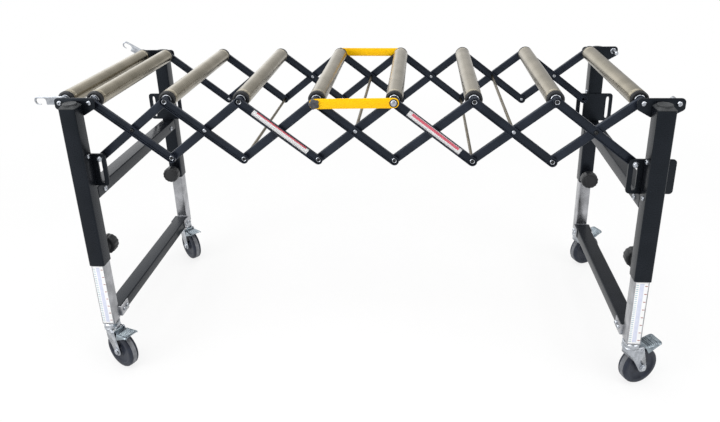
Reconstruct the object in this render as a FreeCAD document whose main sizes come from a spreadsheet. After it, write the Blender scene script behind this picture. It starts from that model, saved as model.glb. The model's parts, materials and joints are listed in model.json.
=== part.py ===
import FreeCAD, Part
import os
import Sketcher

# Expandable roller conveyor: two wheeled end frames joined by a scissor linkage that carries the rollers.
# X runs along the conveyor, Y from the front rail to the back rail and Z up from the floor.
# The origin is on the floor under the middle of the roller bed. Sizes are in millimetres.
# Depths are measured inwards across a rail from the inner faces of its legs.

CELLS = 7  # scissor cells between the two end frames
SIDES = 12  # sides of the pivot pins, pin holes and bar ends, which repeat along the whole linkage
RIM_SIDES = 32  # sides of the wheel rims, bearing cups and cap discs
ENDS = {"left": -1, "right": 1}
FACES = {"front": -1, "back": 1}
TIE_RODS = {1: 1, 3: 0.5, 4: 1, 5: 0.5}  # falling arm: how far along it its tie rod sits
LINK_CELL = 3  # cell that the two locking links span
# where each caster trails, in degrees about its stem from the conveyor's length
CASTER_TURN = {"left_front": -28, "left_back": -44, "right_front": 24, "right_back": 28}
# how far each coupling hook is swung up from level, in degrees
HOOK_TURN = {"front": 0, "back": 31}
PEDAL_RISE = 8  # how far a released brake pedal slopes up, in degrees
RIBS = 12  # grip ribs round a height knob
LOBES = 5  # lobes round a locking link's knob

SIZES = {
    # roller bed and linkage
    "roller_pitch": 172,
    "pivot_drop": 137,
    "frame_gap": 488,
    "arm_width": 20,
    "arm_thick": 8,
    "arm_gap": 1,
    "pin_radius": 4,
    "pin_proud": 0.5,
    "axle_radius": 5,
    "pivot_clearance": 0.1,
    "open_pivot_clearance": 0.4,
    "bolt_head_radius": 7,
    "bolt_head_thick": 5,
    # rollers
    "roller_radius": 19,
    "roller_wall": 1.5,
    "roller_cap_width": 6,
    "roller_gap": 4,
    # legs and their plates
    "leg_width": 38,
    "leg_wall": 2,
    "leg_length": 400,
    "leg_top_drop": 4,
    "leg_cap_thick": 1.5,
    "leg_cap_chamfer": 5,
    "leg_cap_disc_radius": 16,
    "leg_cap_disc_rise": 3.5,
    "plate_thick": 4,
    "end_bolt_reach": 35,
    "bracket_margin": 13,
    "bracket_rise": 11.5,
    "bracket_end_drop": 13,
    "bracket_foot_drop": 30,
    "bracket_corner": 6,
    "slot_travel": 56,
    "slot_clearance": 0.4,
    "slot_side_margin": 15,
    "slot_top_margin": 13,
    "slot_foot_margin": 8,
    "slot_plate_corner": 7,
    "upper_bar_gap": 4,
    "upper_bar_height": 30,
    "bar_wall": 2.5,
    # telescopic lower frames
    "inner_leg_clearance": 0.5,
    "inner_leg_wall": 2,
    "inner_leg_shown": 170,
    "inner_leg_hidden": 180,
    "lower_bar_width": 40,
    "lower_bar_height": 27,
    "lower_bar_rise": 2,
    "bar_bracket_length": 38,
    "bar_bracket_clearance": 0.3,
    "foot_plug_height": 12,
    # height-lock knobs
    "knob_radius": 24,
    "knob_thick": 26,
    "knob_flute": 2.5,
    "knob_rib": 8,
    "knob_neck_radius": 9,
    "knob_neck_length": 18,
    "knob_rise": 24,
    "knob_gap": 0.5,
    "screw_radius": 4,
    "screw_tip_gap": 0.3,
    # casters
    "wheel_radius": 47.5,
    "wheel_width": 26,
    "wheel_shoulder": 3.5,
    "wheel_headroom": 9.5,
    "caster_trail": 28,
    "fork_wall": 2.5,
    "fork_side_gap": 2,
    "fork_skirt": 12,
    "fork_eye_radius": 11,
    "cup_radius": 20,
    "cup_height": 15,
    "swivel_gap": 0.3,
    "stem_radius": 6,
    "stem_head_radius": 9,
    "stem_head_height": 4,
    "pedal_pivot_radius": 3,
    "pedal_pivot_back": 8,
    "pedal_pivot_rise": 6,
    "pedal_thick": 2.5,
    "pedal_neck": 14,
    "pedal_length": 42,
    "pedal_width": 40,
    "pedal_side_gap": 0.5,
    # coupling hooks and pins
    "hook_length": 62,
    "hook_width": 20,
    "hook_thick": 4,
    "hook_gap": 13.5,
    "throat_radius": 7,
    "throat_length": 11,
    "throat_mouth": 14,
    "throat_tip": 4,
    "throat_drop": 1.5,
    "coupling_reach": 40,
    "coupling_standoff": 8,
    # locking links and their knobs
    "link_width": 23,
    "link_thick": 3,
    "link_gap": 0.8,
    "link_knob_radius": 9,
    "link_knob_lobe_radius": 4,
    "link_knob_thick": 13,
    "link_knob_gap": 0.3,
}

doc = FreeCAD.newDocument("RollerConveyor")
sheet = doc.addObject("Spreadsheet::Sheet", "Size")
for row, (alias, size) in enumerate(SIZES.items(), start=1):
    sheet.set(f"A{row}", alias)
    sheet.set(f"B{row}", str(size))
    sheet.setAlias(f"B{row}", alias)
doc.recompute()

# Lengths and levels that follow from the driving sizes
ARM_LENGTH = "sqrt(Size.roller_pitch ^ 2 + Size.pivot_drop ^ 2)"
ARM_SLOPE = "atan(Size.pivot_drop / Size.roller_pitch)"
END_PIVOT_X = f"({CELLS} / 2 * Size.roller_pitch)"
LEG_X = f"({END_PIVOT_X} + Size.end_bolt_reach)"
LEG_Y = "((Size.frame_gap + Size.leg_width) / 2)"
WHEEL_TOP = "(2 * Size.wheel_radius)"
CROWN_UNDER = f"({WHEEL_TOP} + Size.wheel_headroom)"
CROWN_TOP = f"({CROWN_UNDER} + Size.fork_wall)"
TUBE_FOOT = f"({CROWN_TOP} + Size.cup_height)"
LEG_FOOT = f"({TUBE_FOOT} + Size.inner_leg_shown)"
LEG_TOP = f"({LEG_FOOT} + Size.leg_length)"
AXLE_Z = f"({LEG_TOP} + Size.leg_top_drop)"
SLOT_PIN_Z = f"({AXLE_Z} - Size.pivot_drop)"
PLATE_FOOT = f"({SLOT_PIN_Z} - Size.slot_travel - Size.pin_radius - Size.slot_foot_margin)"
KNOB_Z = f"({LEG_FOOT} + Size.knob_rise)"
UPPER_BAR_Z = f"({PLATE_FOOT} - Size.upper_bar_gap - Size.upper_bar_height / 2)"
LOWER_BAR_Z = f"({TUBE_FOOT} + Size.lower_bar_rise + Size.lower_bar_height / 2)"
INNER_LEG = "(Size.leg_width - 2 * Size.leg_wall - 2 * Size.inner_leg_clearance)"
INNER_LEG_FACE = "(-Size.leg_wall - Size.inner_leg_clearance)"
BAR_BRACKET_FACE = f"({INNER_LEG_FACE} + Size.bar_wall)"

# Depths of the two layers of arms, and of the roller ends
OUTER_NEAR = "(Size.plate_thick + Size.arm_gap)"
OUTER_FAR = f"({OUTER_NEAR} + Size.arm_thick)"
INNER_NEAR = f"({OUTER_FAR} + Size.arm_gap)"
INNER_FAR = f"({INNER_NEAR} + Size.arm_thick)"
ROLLER_END = f"({INNER_FAR} + Size.roller_gap)"
OUTER = (OUTER_NEAR, OUTER_FAR)
INNER = (INNER_NEAR, INNER_FAR)
BACK_PIN_END = f"({OUTER_NEAR} - Size.pin_proud)"
SLOT_PIN_END = "(-Size.pin_proud)"
LINK_FAR = f"({OUTER_NEAR} - Size.link_gap)"
LINK_NEAR = f"({LINK_FAR} - Size.link_thick)"

NODES = []
TURNED = {
    "x": FreeCAD.Rotation(FreeCAD.Vector(0, 1, 0), 90),
    "y": FreeCAD.Rotation(FreeCAD.Vector(1, 0, 0), -90),
    "z": FreeCAD.Rotation(),
}


def place(item, x="0", y="0", z="0"):
    """Binds where an object stands."""
    for axis, where in zip("xyz", (x, y, z)):
        item.setExpression(f"Placement.Base.{axis}", where)


def turn(item, axis, angle):
    """Binds how far an object is turned about an axis through its own origin."""
    item.Placement.Rotation = FreeCAD.Rotation(axis, 1)
    item.setExpression("Placement.Rotation.Angle", angle)


def block(name, size, middle):
    """A box about its middle."""
    box = doc.addObject("Part::Box", name)
    for side, length in zip(("Length", "Width", "Height"), size):
        box.setExpression(side, length)
    place(box, *(f"({centre}) - ({length}) / 2" for centre, length in zip(middle, size)))
    return box


def rod(name, axis, radius, start, end, centre, sides=0):
    """A round bar along one axis, or one of a few sides; centre gives the other two coordinates in order."""
    bar = doc.addObject("Part::Prism" if sides else "Part::Cylinder", name)
    bar.Placement.Rotation = TURNED[axis]
    if sides:
        bar.Polygon = sides
    bar.setExpression("Circumradius" if sides else "Radius", radius)
    bar.setExpression("Height", f"({end}) - ({start})")
    where = list(centre)
    where.insert("xyz".index(axis), start)
    place(bar, *where)
    return bar


def fuse(name, pieces):
    """One solid from pieces that overlap."""
    whole = doc.addObject("Part::MultiFuse", name)
    whole.Shapes = pieces
    whole.Refine = True
    return whole


def cut(name, base, tools):
    """A solid less one tool, or less the union of several."""
    rest = doc.addObject("Part::Cut", name)
    rest.Base = base
    rest.Tool = tools[0] if len(tools) == 1 else fuse(f"{name}_tool", tools)
    return rest


def node(label, pieces):
    """One exported sub-part, holding its solids side by side."""
    group = doc.addObject("Part::Compound", label)
    group.Links = pieces
    NODES.append(group)
    return group


def draw(sketch, points):
    """Draws a closed run of straight edges, each corner bound to its two sizes."""
    places = [FreeCAD.Vector(value(first), value(second), 0) for first, second in points]
    for start, end in zip(places, places[1:] + places[:1]):
        sketch.addGeometry(Part.LineSegment(start, end), False)
    for edge in range(len(points)):
        sketch.addConstraint(Sketcher.Constraint("Coincident", edge, 2, (edge + 1) % len(points), 1))
    for edge, sizes in enumerate(points):
        for kind, size in zip(("DistanceX", "DistanceY"), sizes):
            number = sketch.addConstraint(Sketcher.Constraint(kind, -1, 1, edge, 1, value(size)))
            sketch.setExpression(f"Constraints[{number}]", size)


def outline(name, points):
    """A closed sketch of straight edges in the XZ plane."""
    sketch = doc.addObject("Sketcher::SketchObject", name)
    sketch.Placement.Rotation = FreeCAD.Rotation(FreeCAD.Vector(1, 0, 0), 90)
    draw(sketch, points)
    return sketch


def plate(name, points, thick, middle_y):
    """A flat plate of an outline, with its thickness along Y about middle_y."""
    sheet_metal = doc.addObject("Part::Extrusion", name)
    sheet_metal.Base = outline(f"{name}_outline", points)
    sheet_metal.DirMode = "Custom"
    sheet_metal.Dir = FreeCAD.Vector(0, 1, 0)
    sheet_metal.Solid = True
    sheet_metal.setExpression("LengthFwd", f"({thick}) / 2")
    sheet_metal.setExpression("LengthRev", f"({thick}) / 2")
    place(sheet_metal, y=middle_y)
    return sheet_metal


def value(size):
    """The number that an expression of sizes comes to now."""
    return float(sheet.evalExpression(size.replace("Size.", "")))


def across(face, depth):
    """Where a depth behind the inner faces of the front or back legs lies along Y."""
    return f"({face} * (Size.frame_gap / 2 - ({depth})))"


def cross_rod(name, face, radius, near, far, x, z, sides=0):
    """A round bar along Y between two depths of one rail, near being the outer one."""
    ends = (near, far) if face < 0 else (far, near)
    return rod(name, "y", radius, across(face, ends[0]), across(face, ends[1]), (x, z), sides)


def pin(name, face, radius, near, far, x, z):
    """A pivot pin between two depths of one rail."""
    return cross_rod(name, face, radius, near, far, x, z, SIDES)


def pin_hole(name, face, radius, clearance, near, far, x, z):
    """The tool for a hole whose flats clear a pin of that radius."""
    return cross_rod(name, face, f"({radius} + {clearance}) / cos(180deg / {SIDES})", near, far, x, z, SIDES)


def bar_between(name, size, face, near, far, x, z):
    """A box between two depths of one rail; size is its length along X and Z."""
    middle = across(face, f"(({near}) + ({far})) / 2")
    return block(name, (size[0], f"({far}) - ({near})", size[1]), (x, middle, z))


def round_bar(name, face, near, far, length, width):
    """A flat bar with round ends, from a pivot at the origin to one a length away along X."""
    half = f"({width}) / 2"
    return [
        bar_between(f"{name}_flat", (f"abs({length})", width), face, near, far, f"({length}) / 2", "0"),
        pin(f"{name}_eye", face, half, near, far, "0", "0"),
        pin(f"{name}_end", face, half, near, far, length, "0"),
    ]


def ring(name, radius, y):
    """A many-sided ring about Y, as one section of a wheel."""
    section = doc.addObject("Part::RegularPolygon", name)
    section.Polygon = RIM_SIDES
    section.Placement.Rotation = TURNED["y"]
    section.setExpression("Circumradius", radius)
    place(section, y=y)
    return section


# End frames


def make_legs(end):
    """The two square outer legs of one end, each with its top cap."""
    bore = "Size.leg_width - 2 * Size.leg_wall"
    pieces = []
    for side, face in FACES.items():
        name = f"{end}_{side}_leg"
        middle = ("0", f"{face} * {LEG_Y}", f"{LEG_FOOT} + Size.leg_length / 2")
        outside = block(f"{name}_outside", ("Size.leg_width", "Size.leg_width", "Size.leg_length"), middle)
        inside = block(f"{name}_inside", (bore, bore, "Size.leg_length"), middle)
        screw_hole = pin_hole(f"{name}_screw_hole", face, "Size.screw_radius", "Size.pivot_clearance",
                              "-2 * Size.leg_wall", "0", "0", KNOB_Z)
        pieces.append(cut(name, outside, [inside, screw_hole]))
        pieces.append(make_leg_cap(f"{name}_cap", middle[1]))
    return node(f"{end}_legs", pieces)


def make_leg_cap(name, y):
    """The plastic cap on a leg: a thin flange with chamfered sides and a round disc in its middle."""
    flange_top = f"({LEG_TOP} + Size.leg_cap_thick)"
    shoulder = f"({flange_top} + Size.leg_cap_chamfer)"
    flange = block(f"{name}_flange", ("Size.leg_width", "Size.leg_width", "Size.leg_cap_thick"),
                   ("0", y, f"{LEG_TOP} + Size.leg_cap_thick / 2"))
    sides = doc.addObject("Part::Wedge", f"{name}_sides")
    sides.Placement.Rotation = FreeCAD.Rotation(FreeCAD.Vector(1, 0, 0), 90)
    half = "Size.leg_width / 2"
    for edge, sign in (("min", "-1"), ("max", "1")):
        for axis in "XZ":
            sides.setExpression(f"{axis}{edge}", f"{sign} * {half}")
            sides.setExpression(f"{axis}2{edge}", f"{sign} * ({half} - Size.leg_cap_chamfer)")
    sides.setExpression("Ymin", "0")
    sides.setExpression("Ymax", "Size.leg_cap_chamfer")
    place(sides, "0", y, flange_top)
    disc = rod(f"{name}_disc", "z", "Size.leg_cap_disc_radius", LEG_TOP,
               f"{shoulder} + Size.leg_cap_disc_rise", ("0", y), RIM_SIDES)
    return fuse(name, [flange, sides, disc])


def make_top_brackets(end):
    """The flared plates at the leg tops that hold the end axles, with holes where coupling pins pass."""
    half = "(Size.end_bolt_reach + Size.bracket_margin)"
    foot = "Size.leg_width / 2"
    top = f"{AXLE_Z} + Size.bracket_rise"
    shoulder = f"{AXLE_Z} - Size.bracket_end_drop"
    bottom = f"{AXLE_Z} - Size.bracket_foot_drop"
    corner = "Size.bracket_corner"
    points = [
        (f"-{half} + {corner}", top), (f"{half} - {corner}", top), (half, f"{top} - {corner}"),
        (half, shoulder), (foot, bottom), (f"-{foot}", bottom), (f"-{half}", shoulder),
        (f"-{half}", f"{top} - {corner}"),
    ]
    pieces = []
    for side, face in FACES.items():
        name = f"{end}_{side}_bracket"
        flat = plate(name, points, "Size.plate_thick", across(face, "Size.plate_thick / 2"))
        if end == "right":
            hole = pin_hole(f"{name}_pin_hole", face, "Size.axle_radius", "Size.pivot_clearance",
                            "0", "Size.plate_thick", "Size.end_bolt_reach", AXLE_Z)
            flat = cut(f"{name}_holed", flat, [hole])
        pieces.append(flat)
    return node(f"{end}_top_brackets", pieces)


def make_slot_plates(end):
    """The plates below the brackets whose upright slots guide the ends of the lower pivots."""
    half = "(Size.end_bolt_reach + Size.slot_side_margin)"
    top = f"{SLOT_PIN_Z} + Size.slot_top_margin"
    corner = "Size.slot_plate_corner"
    points = [
        (f"{corner} - {half}", top), (f"{half} - {corner}", top), (half, f"{top} - {corner}"),
        (half, f"{PLATE_FOOT} + {corner}"), (f"{half} - {corner}", PLATE_FOOT),
        (f"{corner} - {half}", PLATE_FOOT), (f"-{half}", f"{PLATE_FOOT} + {corner}"),
        (f"-{half}", f"{top} - {corner}"),
    ]
    slot_half = "(Size.pin_radius + Size.slot_clearance)"
    slot_foot = f"{SLOT_PIN_Z} - Size.slot_travel"
    pieces = []
    for side, face in FACES.items():
        name = f"{end}_{side}_slot_plate"
        flat = plate(f"{name}_flat", points, "Size.plate_thick", across(face, "Size.plate_thick / 2"))
        slots = []
        for hand, sign in ENDS.items():
            x = f"{sign} * Size.end_bolt_reach"
            slots.append(bar_between(f"{name}_{hand}_slot", (f"2 * {slot_half}", "Size.slot_travel"), face,
                                     "0", "Size.plate_thick", x, f"{SLOT_PIN_Z} - Size.slot_travel / 2"))
            for level, z in (("head", SLOT_PIN_Z), ("foot", slot_foot)):
                slots.append(pin(f"{name}_{hand}_slot_{level}", face, slot_half,
                                 "0", "Size.plate_thick", x, z))
        pieces.append(cut(name, flat, slots))
    return node(f"{end}_slot_plates", pieces)


def make_bar(label, width, height, end_depth, z):
    """A rectangular crossbar tube between the front and the back legs."""
    length = f"(Size.frame_gap - 2 * ({end_depth}))"
    outside = block(f"{label}_outside", (width, length, height), ("0", "0", z))
    bore = (f"{width} - 2 * Size.bar_wall", length, f"{height} - 2 * Size.bar_wall")
    inside = block(f"{label}_inside", bore, ("0", "0", z))
    return node(label, [cut(f"{label}_tube", outside, [inside])])


def make_axles(end, sign):
    """The axle rods that an end frame holds, and at the right end the pins that a next unit hooks onto."""
    inner_x = f"{-sign} * Size.end_bolt_reach"
    outer_x = f"{sign} * Size.end_bolt_reach"
    front = across(-1, "Size.plate_thick")
    back = across(1, "Size.plate_thick")
    pieces = [rod(f"{end}_inner_axle", "y", "Size.axle_radius", front, back, (inner_x, AXLE_Z), SIDES)]
    if end == "left":
        pieces.append(rod(f"{end}_outer_axle", "y", "Size.axle_radius", front, back,
                          (outer_x, AXLE_Z), SIDES))
        return node(f"{end}_axles", pieces)
    for side, face in FACES.items():
        name = f"{side}_coupling_pin"
        shank = pin(f"{name}_shank", face, "Size.axle_radius", "-Size.coupling_standoff",
                    "Size.coupling_reach", outer_x, AXLE_Z)
        head = pin(f"{name}_head", face, "Size.bolt_head_radius",
                   "-Size.coupling_standoff - Size.bolt_head_thick", "-Size.coupling_standoff",
                   outer_x, AXLE_Z)
        pieces.append(fuse(name, [shank, head]))
    return node(f"{end}_axles", pieces)


def make_inner_legs(end):
    """The telescopic lower legs of one end, with their caster stems and the brackets for the crossbar."""
    bore = f"({INNER_LEG} - 2 * Size.inner_leg_wall)"
    length = "(Size.inner_leg_shown + Size.inner_leg_hidden)"
    stem_foot = f"({CROWN_UNDER} - Size.swivel_gap - Size.stem_head_height)"
    pieces = []
    for side, face in FACES.items():
        name = f"{end}_{side}_inner_leg"
        y = f"{face} * {LEG_Y}"
        middle = ("0", y, f"{TUBE_FOOT} + {length} / 2")
        outside = block(f"{name}_outside", (INNER_LEG, INNER_LEG, length), middle)
        inside = block(f"{name}_inside", (bore, bore, length), middle)
        pieces.append(cut(name, outside, [inside]))
        plug = block(f"{name}_plug", (bore, bore, "Size.foot_plug_height"),
                     ("0", y, f"{TUBE_FOOT} + Size.foot_plug_height / 2"))
        stem = rod(f"{name}_stem", "z", "Size.stem_radius", stem_foot,
                   f"{TUBE_FOOT} + Size.foot_plug_height / 2", ("0", y), SIDES)
        head = rod(f"{name}_stem_head", "z", "Size.stem_head_radius", stem_foot,
                   f"{stem_foot} + Size.stem_head_height", ("0", y), 6)
        pieces.append(fuse(f"{name}_foot", [plug, stem, head]))
        pieces.append(make_bar_bracket(f"{name}_bracket", face))
    return node(f"{end}_inner_legs", pieces)


def make_bar_bracket(name, face):
    """The U-shaped bracket on an inner leg: a back plate and two cheeks that hold the crossbar's end."""
    bracket_end = f"({INNER_LEG_FACE} + Size.bar_bracket_length)"
    inside = "(Size.lower_bar_width + 2 * Size.bar_bracket_clearance)"
    folded = bar_between(f"{name}_folded", (f"{inside} + 2 * Size.bar_wall", "Size.lower_bar_height"), face,
                         INNER_LEG_FACE, bracket_end, "0", LOWER_BAR_Z)
    seat = bar_between(f"{name}_seat", (inside, "Size.lower_bar_height"), face,
                       BAR_BRACKET_FACE, bracket_end, "0", LOWER_BAR_Z)
    return cut(name, folded, [seat])


def make_height_knob(end, side, face):
    """A round clamping knob whose screw passes through the outer leg to the inner one."""
    name = f"{end}_{side}_height_knob"
    tip = f"({INNER_LEG_FACE} + Size.screw_tip_gap)"
    neck_end = "(Size.knob_gap + Size.knob_neck_length)"
    pieces = [
        pin(f"{name}_screw", face, "Size.screw_radius", tip, neck_end, "0", "0"),
        pin(f"{name}_neck", face, "Size.knob_neck_radius", "Size.knob_gap", neck_end, "0", "0"),
        pin(f"{name}_core", face, "Size.knob_radius - Size.knob_flute", neck_end,
            f"{neck_end} + Size.knob_thick", "0", "0"),
    ]
    for number in range(RIBS // 2):
        rib = bar_between(f"{name}_rib_{number}", ("2 * Size.knob_radius", "Size.knob_rib"), face, neck_end,
                          f"{neck_end} + Size.knob_thick", "0", "0")
        ribs = doc.addObject("Part::Compound", f"{name}_turned_rib_{number}")
        ribs.Links = [rib]
        turn(ribs, FreeCAD.Vector(0, 1, 0), f"{number * 360 / RIBS}")
        pieces.append(ribs)
    return node(name, [fuse(f"{name}_whole", pieces)])


# Scissor linkage


def arm(name, face, layer, length, pins, holes):
    """One flat arm with its pins and holes.

    Pins are (place along the arm, radius, outer depth, inner depth) and holes (place, radius, clearance).
    """
    pieces = round_bar(name, face, *layer, length, "Size.arm_width")
    for number, (place_along, radius, near, far) in enumerate(pins):
        pieces.append(pin(f"{name}_pin_{number}", face, radius, near, far, f"{place_along} * {length}", "0"))
    whole = fuse(f"{name}_bar", pieces)
    if not holes:
        return whole
    tools = []
    for number, (place_along, radius, clearance) in enumerate(holes):
        tools.append(pin_hole(f"{name}_hole_{number}", face, radius, clearance, *layer,
                              f"{place_along} * {length}", "0"))
    return cut(f"{name}_drilled", whole, tools)


def make_falling_arms(cell):
    """The arms of one cell that slope down to the right, with the axle, tie rod and pins that they carry."""
    name = f"fall_{cell}"
    last = cell == CELLS - 1
    tie = TIE_RODS.get(cell)
    stud_end = f"({LINK_NEAR} - Size.pin_proud)"
    front_pins = [(place_along, "Size.pin_radius", OUTER_NEAR, f"{INNER_FAR} + Size.pin_proud")
                  for place_along in (0.5, 1) if place_along != tie and not (last and place_along == 1)]
    back_pins = [(0.5, "Size.pin_radius", BACK_PIN_END, INNER_FAR)]
    back_pins.append((1, "Size.pin_radius", SLOT_PIN_END if last else BACK_PIN_END, INNER_FAR))
    if last:
        front_pins.append((1, "Size.pin_radius", SLOT_PIN_END, OUTER_FAR))
    if cell == LINK_CELL + 1:
        front_pins.append((0, "Size.axle_radius", stud_end, OUTER_FAR))
        back_pins.append((0, "Size.axle_radius", stud_end, INNER_FAR))
    elif cell > 0:
        back_pins.append((0, "Size.axle_radius", BACK_PIN_END, INNER_FAR))
    end_hole = [] if cell else [(0, "Size.axle_radius", "Size.pivot_clearance")]
    pieces = [
        arm(f"{name}_front", -1, OUTER, ARM_LENGTH, front_pins, end_hole),
        arm(f"{name}_back", 1, INNER, ARM_LENGTH, back_pins, end_hole),
    ]
    rods = [(0, "Size.axle_radius")] if cell else []
    if tie:
        rods.append((tie, "Size.pin_radius"))
    for place_along, radius in rods:
        pieces.append(rod(f"{name}_rod_{len(pieces)}", "y", radius, across(-1, OUTER_FAR),
                          across(1, INNER_FAR), (f"{place_along} * {ARM_LENGTH}", "0"), SIDES))
    return node(name, pieces)


def make_rising_arms(cell):
    """The arms of one cell that slope down to the left, turning on the falling arms' axle and pins."""
    name = f"rise_{cell}"
    length = f"(-1 * {ARM_LENGTH})"
    holes = [(0, "Size.axle_radius", "Size.pivot_clearance")]
    holes.append((0.5, "Size.pin_radius", "Size.pivot_clearance"))
    front_pins, back_pins = [], []
    if cell:
        holes.append((1, "Size.pin_radius", "Size.open_pivot_clearance"))
    else:
        front_pins = [(1, "Size.pin_radius", SLOT_PIN_END, INNER_FAR)]
        back_pins = [(1, "Size.pin_radius", SLOT_PIN_END, OUTER_FAR)]
    return node(name, [
        arm(f"{name}_front", -1, INNER, length, front_pins, holes),
        arm(f"{name}_back", 1, OUTER, length, back_pins, holes),
    ])


def make_roller(number):
    """A tube roller that turns on its axle rod."""
    name = f"roller_{number}"
    front = across(-1, ROLLER_END)
    back = across(1, ROLLER_END)
    outside = rod(f"{name}_outside", "y", "Size.roller_radius", front, back, ("0", "0"))
    bore = rod(f"{name}_bore", "y", f"(Size.axle_radius + Size.pivot_clearance) / cos(180deg / {SIDES})",
               front, back, ("0", "0"), SIDES)
    cavity = rod(f"{name}_cavity", "y", "Size.roller_radius - Size.roller_wall",
                 f"{front} + Size.roller_cap_width", f"{back} - Size.roller_cap_width", ("0", "0"), SIDES)
    return node(name, [cut(f"{name}_tube", outside, [bore, cavity])])


# Casters, drawn about their stem with the wheel trailing along X


def make_caster_pieces():
    """The fork with its axle, the wheel and the brake pedal that all casters share."""
    half = "(Size.wheel_width / 2 + Size.fork_side_gap + Size.fork_wall)"
    crown_end = "(Size.caster_trail - Size.pedal_pivot_back - 2 * Size.pedal_pivot_radius)"
    skirt_foot = f"({CROWN_UNDER} - Size.fork_skirt)"
    inner_half = f"({half} - Size.fork_wall)"
    wheel_centre = ("Size.caster_trail", "Size.wheel_radius")
    shell = cut("fork_shell", fuse("fork_outside", [
        rod("fork_nose", "z", half, skirt_foot, CROWN_TOP, ("0", "0"), SIDES),
        block("fork_back", (crown_end, f"2 * {half}", f"{CROWN_TOP} - {skirt_foot}"),
              (f"{crown_end} / 2", "0", f"({CROWN_TOP} + {skirt_foot}) / 2")),
    ]), [
        rod("fork_nose_inside", "z", inner_half, skirt_foot, CROWN_UNDER, ("0", "0"), SIDES),
        block("fork_back_inside", (f"{half} + {crown_end}", f"2 * {inner_half}", f"{CROWN_UNDER} - {skirt_foot}"),
              (f"({half} + {crown_end}) / 2", "0", f"({CROWN_UNDER} + {skirt_foot}) / 2")),
    ])
    ear = "(Size.caster_trail - Size.pedal_pivot_back + 2 * Size.pedal_pivot_radius)"
    points = [
        ("0", CROWN_TOP), (ear, CROWN_TOP), ("Size.caster_trail + Size.fork_eye_radius", "Size.wheel_radius"),
        ("Size.caster_trail - Size.fork_eye_radius", "Size.wheel_radius"), ("0", skirt_foot),
    ]
    pieces = [shell, rod("fork_cup", "z", "Size.cup_radius", CROWN_TOP, f"{TUBE_FOOT} - Size.swivel_gap",
                         ("0", "0"), RIM_SIDES)]
    for side, face in FACES.items():
        middle = f"{face} * ({half} - Size.fork_wall / 2)"
        pieces.append(plate(f"fork_{side}_cheek", points, "Size.fork_wall", middle))
        pieces.append(rod(f"fork_{side}_eye", "y", "Size.fork_eye_radius", f"{middle} - Size.fork_wall / 2",
                          f"{middle} + Size.fork_wall / 2", wheel_centre, SIDES))
    stem_bore = rod("fork_stem_bore", "z",
                    f"(Size.stem_radius + Size.pivot_clearance) / cos(180deg / {SIDES})",
                    CROWN_UNDER, TUBE_FOOT, ("0", "0"), SIDES)
    fork = cut("fork_pressing", fuse("fork_whole", pieces), [stem_bore])
    axle = rod("fork_axle", "y", "Size.pin_radius", f"-{inner_half}", inner_half, wheel_centre, SIDES)
    return {"fork": [fork, axle], "wheel": [make_wheel()], "pedal": [make_pedal(inner_half)]}


def make_wheel():
    """The solid caster wheel with bevelled shoulders."""
    side = "Size.wheel_width / 2"
    shoulder = "Size.wheel_radius - Size.wheel_shoulder"
    bevel = f"({side} - Size.wheel_shoulder)"
    rims = [
        ring("caster_front_side", shoulder, f"-{side}"),
        ring("caster_front_rim", "Size.wheel_radius", f"-{bevel}"),
        ring("caster_back_rim", "Size.wheel_radius", bevel),
        ring("caster_back_side", shoulder, side),
    ]
    disc = doc.addObject("Part::Loft", "caster_disc")
    disc.Sections = rims
    disc.Solid = True
    disc.Ruled = True
    bore = rod("caster_bore", "y", f"(Size.pin_radius + Size.pivot_clearance) / cos(180deg / {SIDES})",
               f"-{side}", side, ("0", "0"), SIDES)
    wheel = cut("caster_wheel", disc, [bore])
    place(wheel, "Size.caster_trail", "0", "Size.wheel_radius")
    return wheel


def make_pedal(inner_half):
    """The brake pedal: a barrel between the fork's ears, a neck and a wide tread."""
    half = f"({inner_half} - Size.pedal_side_gap)"
    barrel = rod("pedal_barrel", "y", "Size.pedal_pivot_radius", f"-{half}", half, ("0", "0"), SIDES)
    neck = block("pedal_neck", ("Size.pedal_neck", f"2 * {half}", "Size.pedal_thick"),
                 ("Size.pedal_neck / 2", "0", "0"))
    tread = block("pedal_tread", ("Size.pedal_length", "Size.pedal_width", "Size.pedal_thick"),
                  ("Size.pedal_neck + Size.pedal_length / 2", "0", "0"))
    pedal = fuse("pedal_pressing", [barrel, neck, tread])
    turn(pedal, FreeCAD.Vector(0, 1, 0), f"-1 * {PEDAL_RISE}")
    place(pedal, "Size.caster_trail - Size.pedal_pivot_back", "0", f"{WHEEL_TOP} + Size.pedal_pivot_rise")
    return pedal


# Couplings and locking links


def make_hook(side, face):
    """A coupling hook with its eye on the end axle and a throat that opens downwards near the tip."""
    name = f"{side}_hook"
    near = "(Size.plate_thick + Size.hook_gap)"
    far = f"({near} + Size.hook_thick)"
    bar = fuse(f"{name}_bar", round_bar(name, face, near, far, "-Size.hook_length", "Size.hook_width"))
    throat_x = "(-Size.hook_length - Size.hook_width / 2 + Size.throat_tip + Size.throat_radius)"
    throat_z = "(-Size.throat_drop)"
    deep = "(Size.hook_width / 2 - Size.throat_drop)"
    tools = [
        pin_hole(f"{name}_eye_hole", face, "Size.axle_radius", "Size.pivot_clearance", near, far, "0", "0"),
        cross_rod(f"{name}_throat_seat", face, "Size.throat_radius", near, far, throat_x, throat_z),
        cross_rod(f"{name}_throat_heel", face, "Size.throat_radius", near, far,
                  f"{throat_x} + Size.throat_length", throat_z),
        bar_between(f"{name}_throat", ("Size.throat_length", "2 * Size.throat_radius"), face, near, far,
                    f"{throat_x} + Size.throat_length / 2", throat_z),
        bar_between(f"{name}_mouth", ("Size.throat_mouth", deep), face, near, far,
                    f"{throat_x} + Size.throat_length + Size.throat_radius - Size.throat_mouth / 2",
                    f"{throat_z} - {deep} / 2"),
    ]
    return node(name, [cut(f"{name}_cut", bar, tools)])


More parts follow.
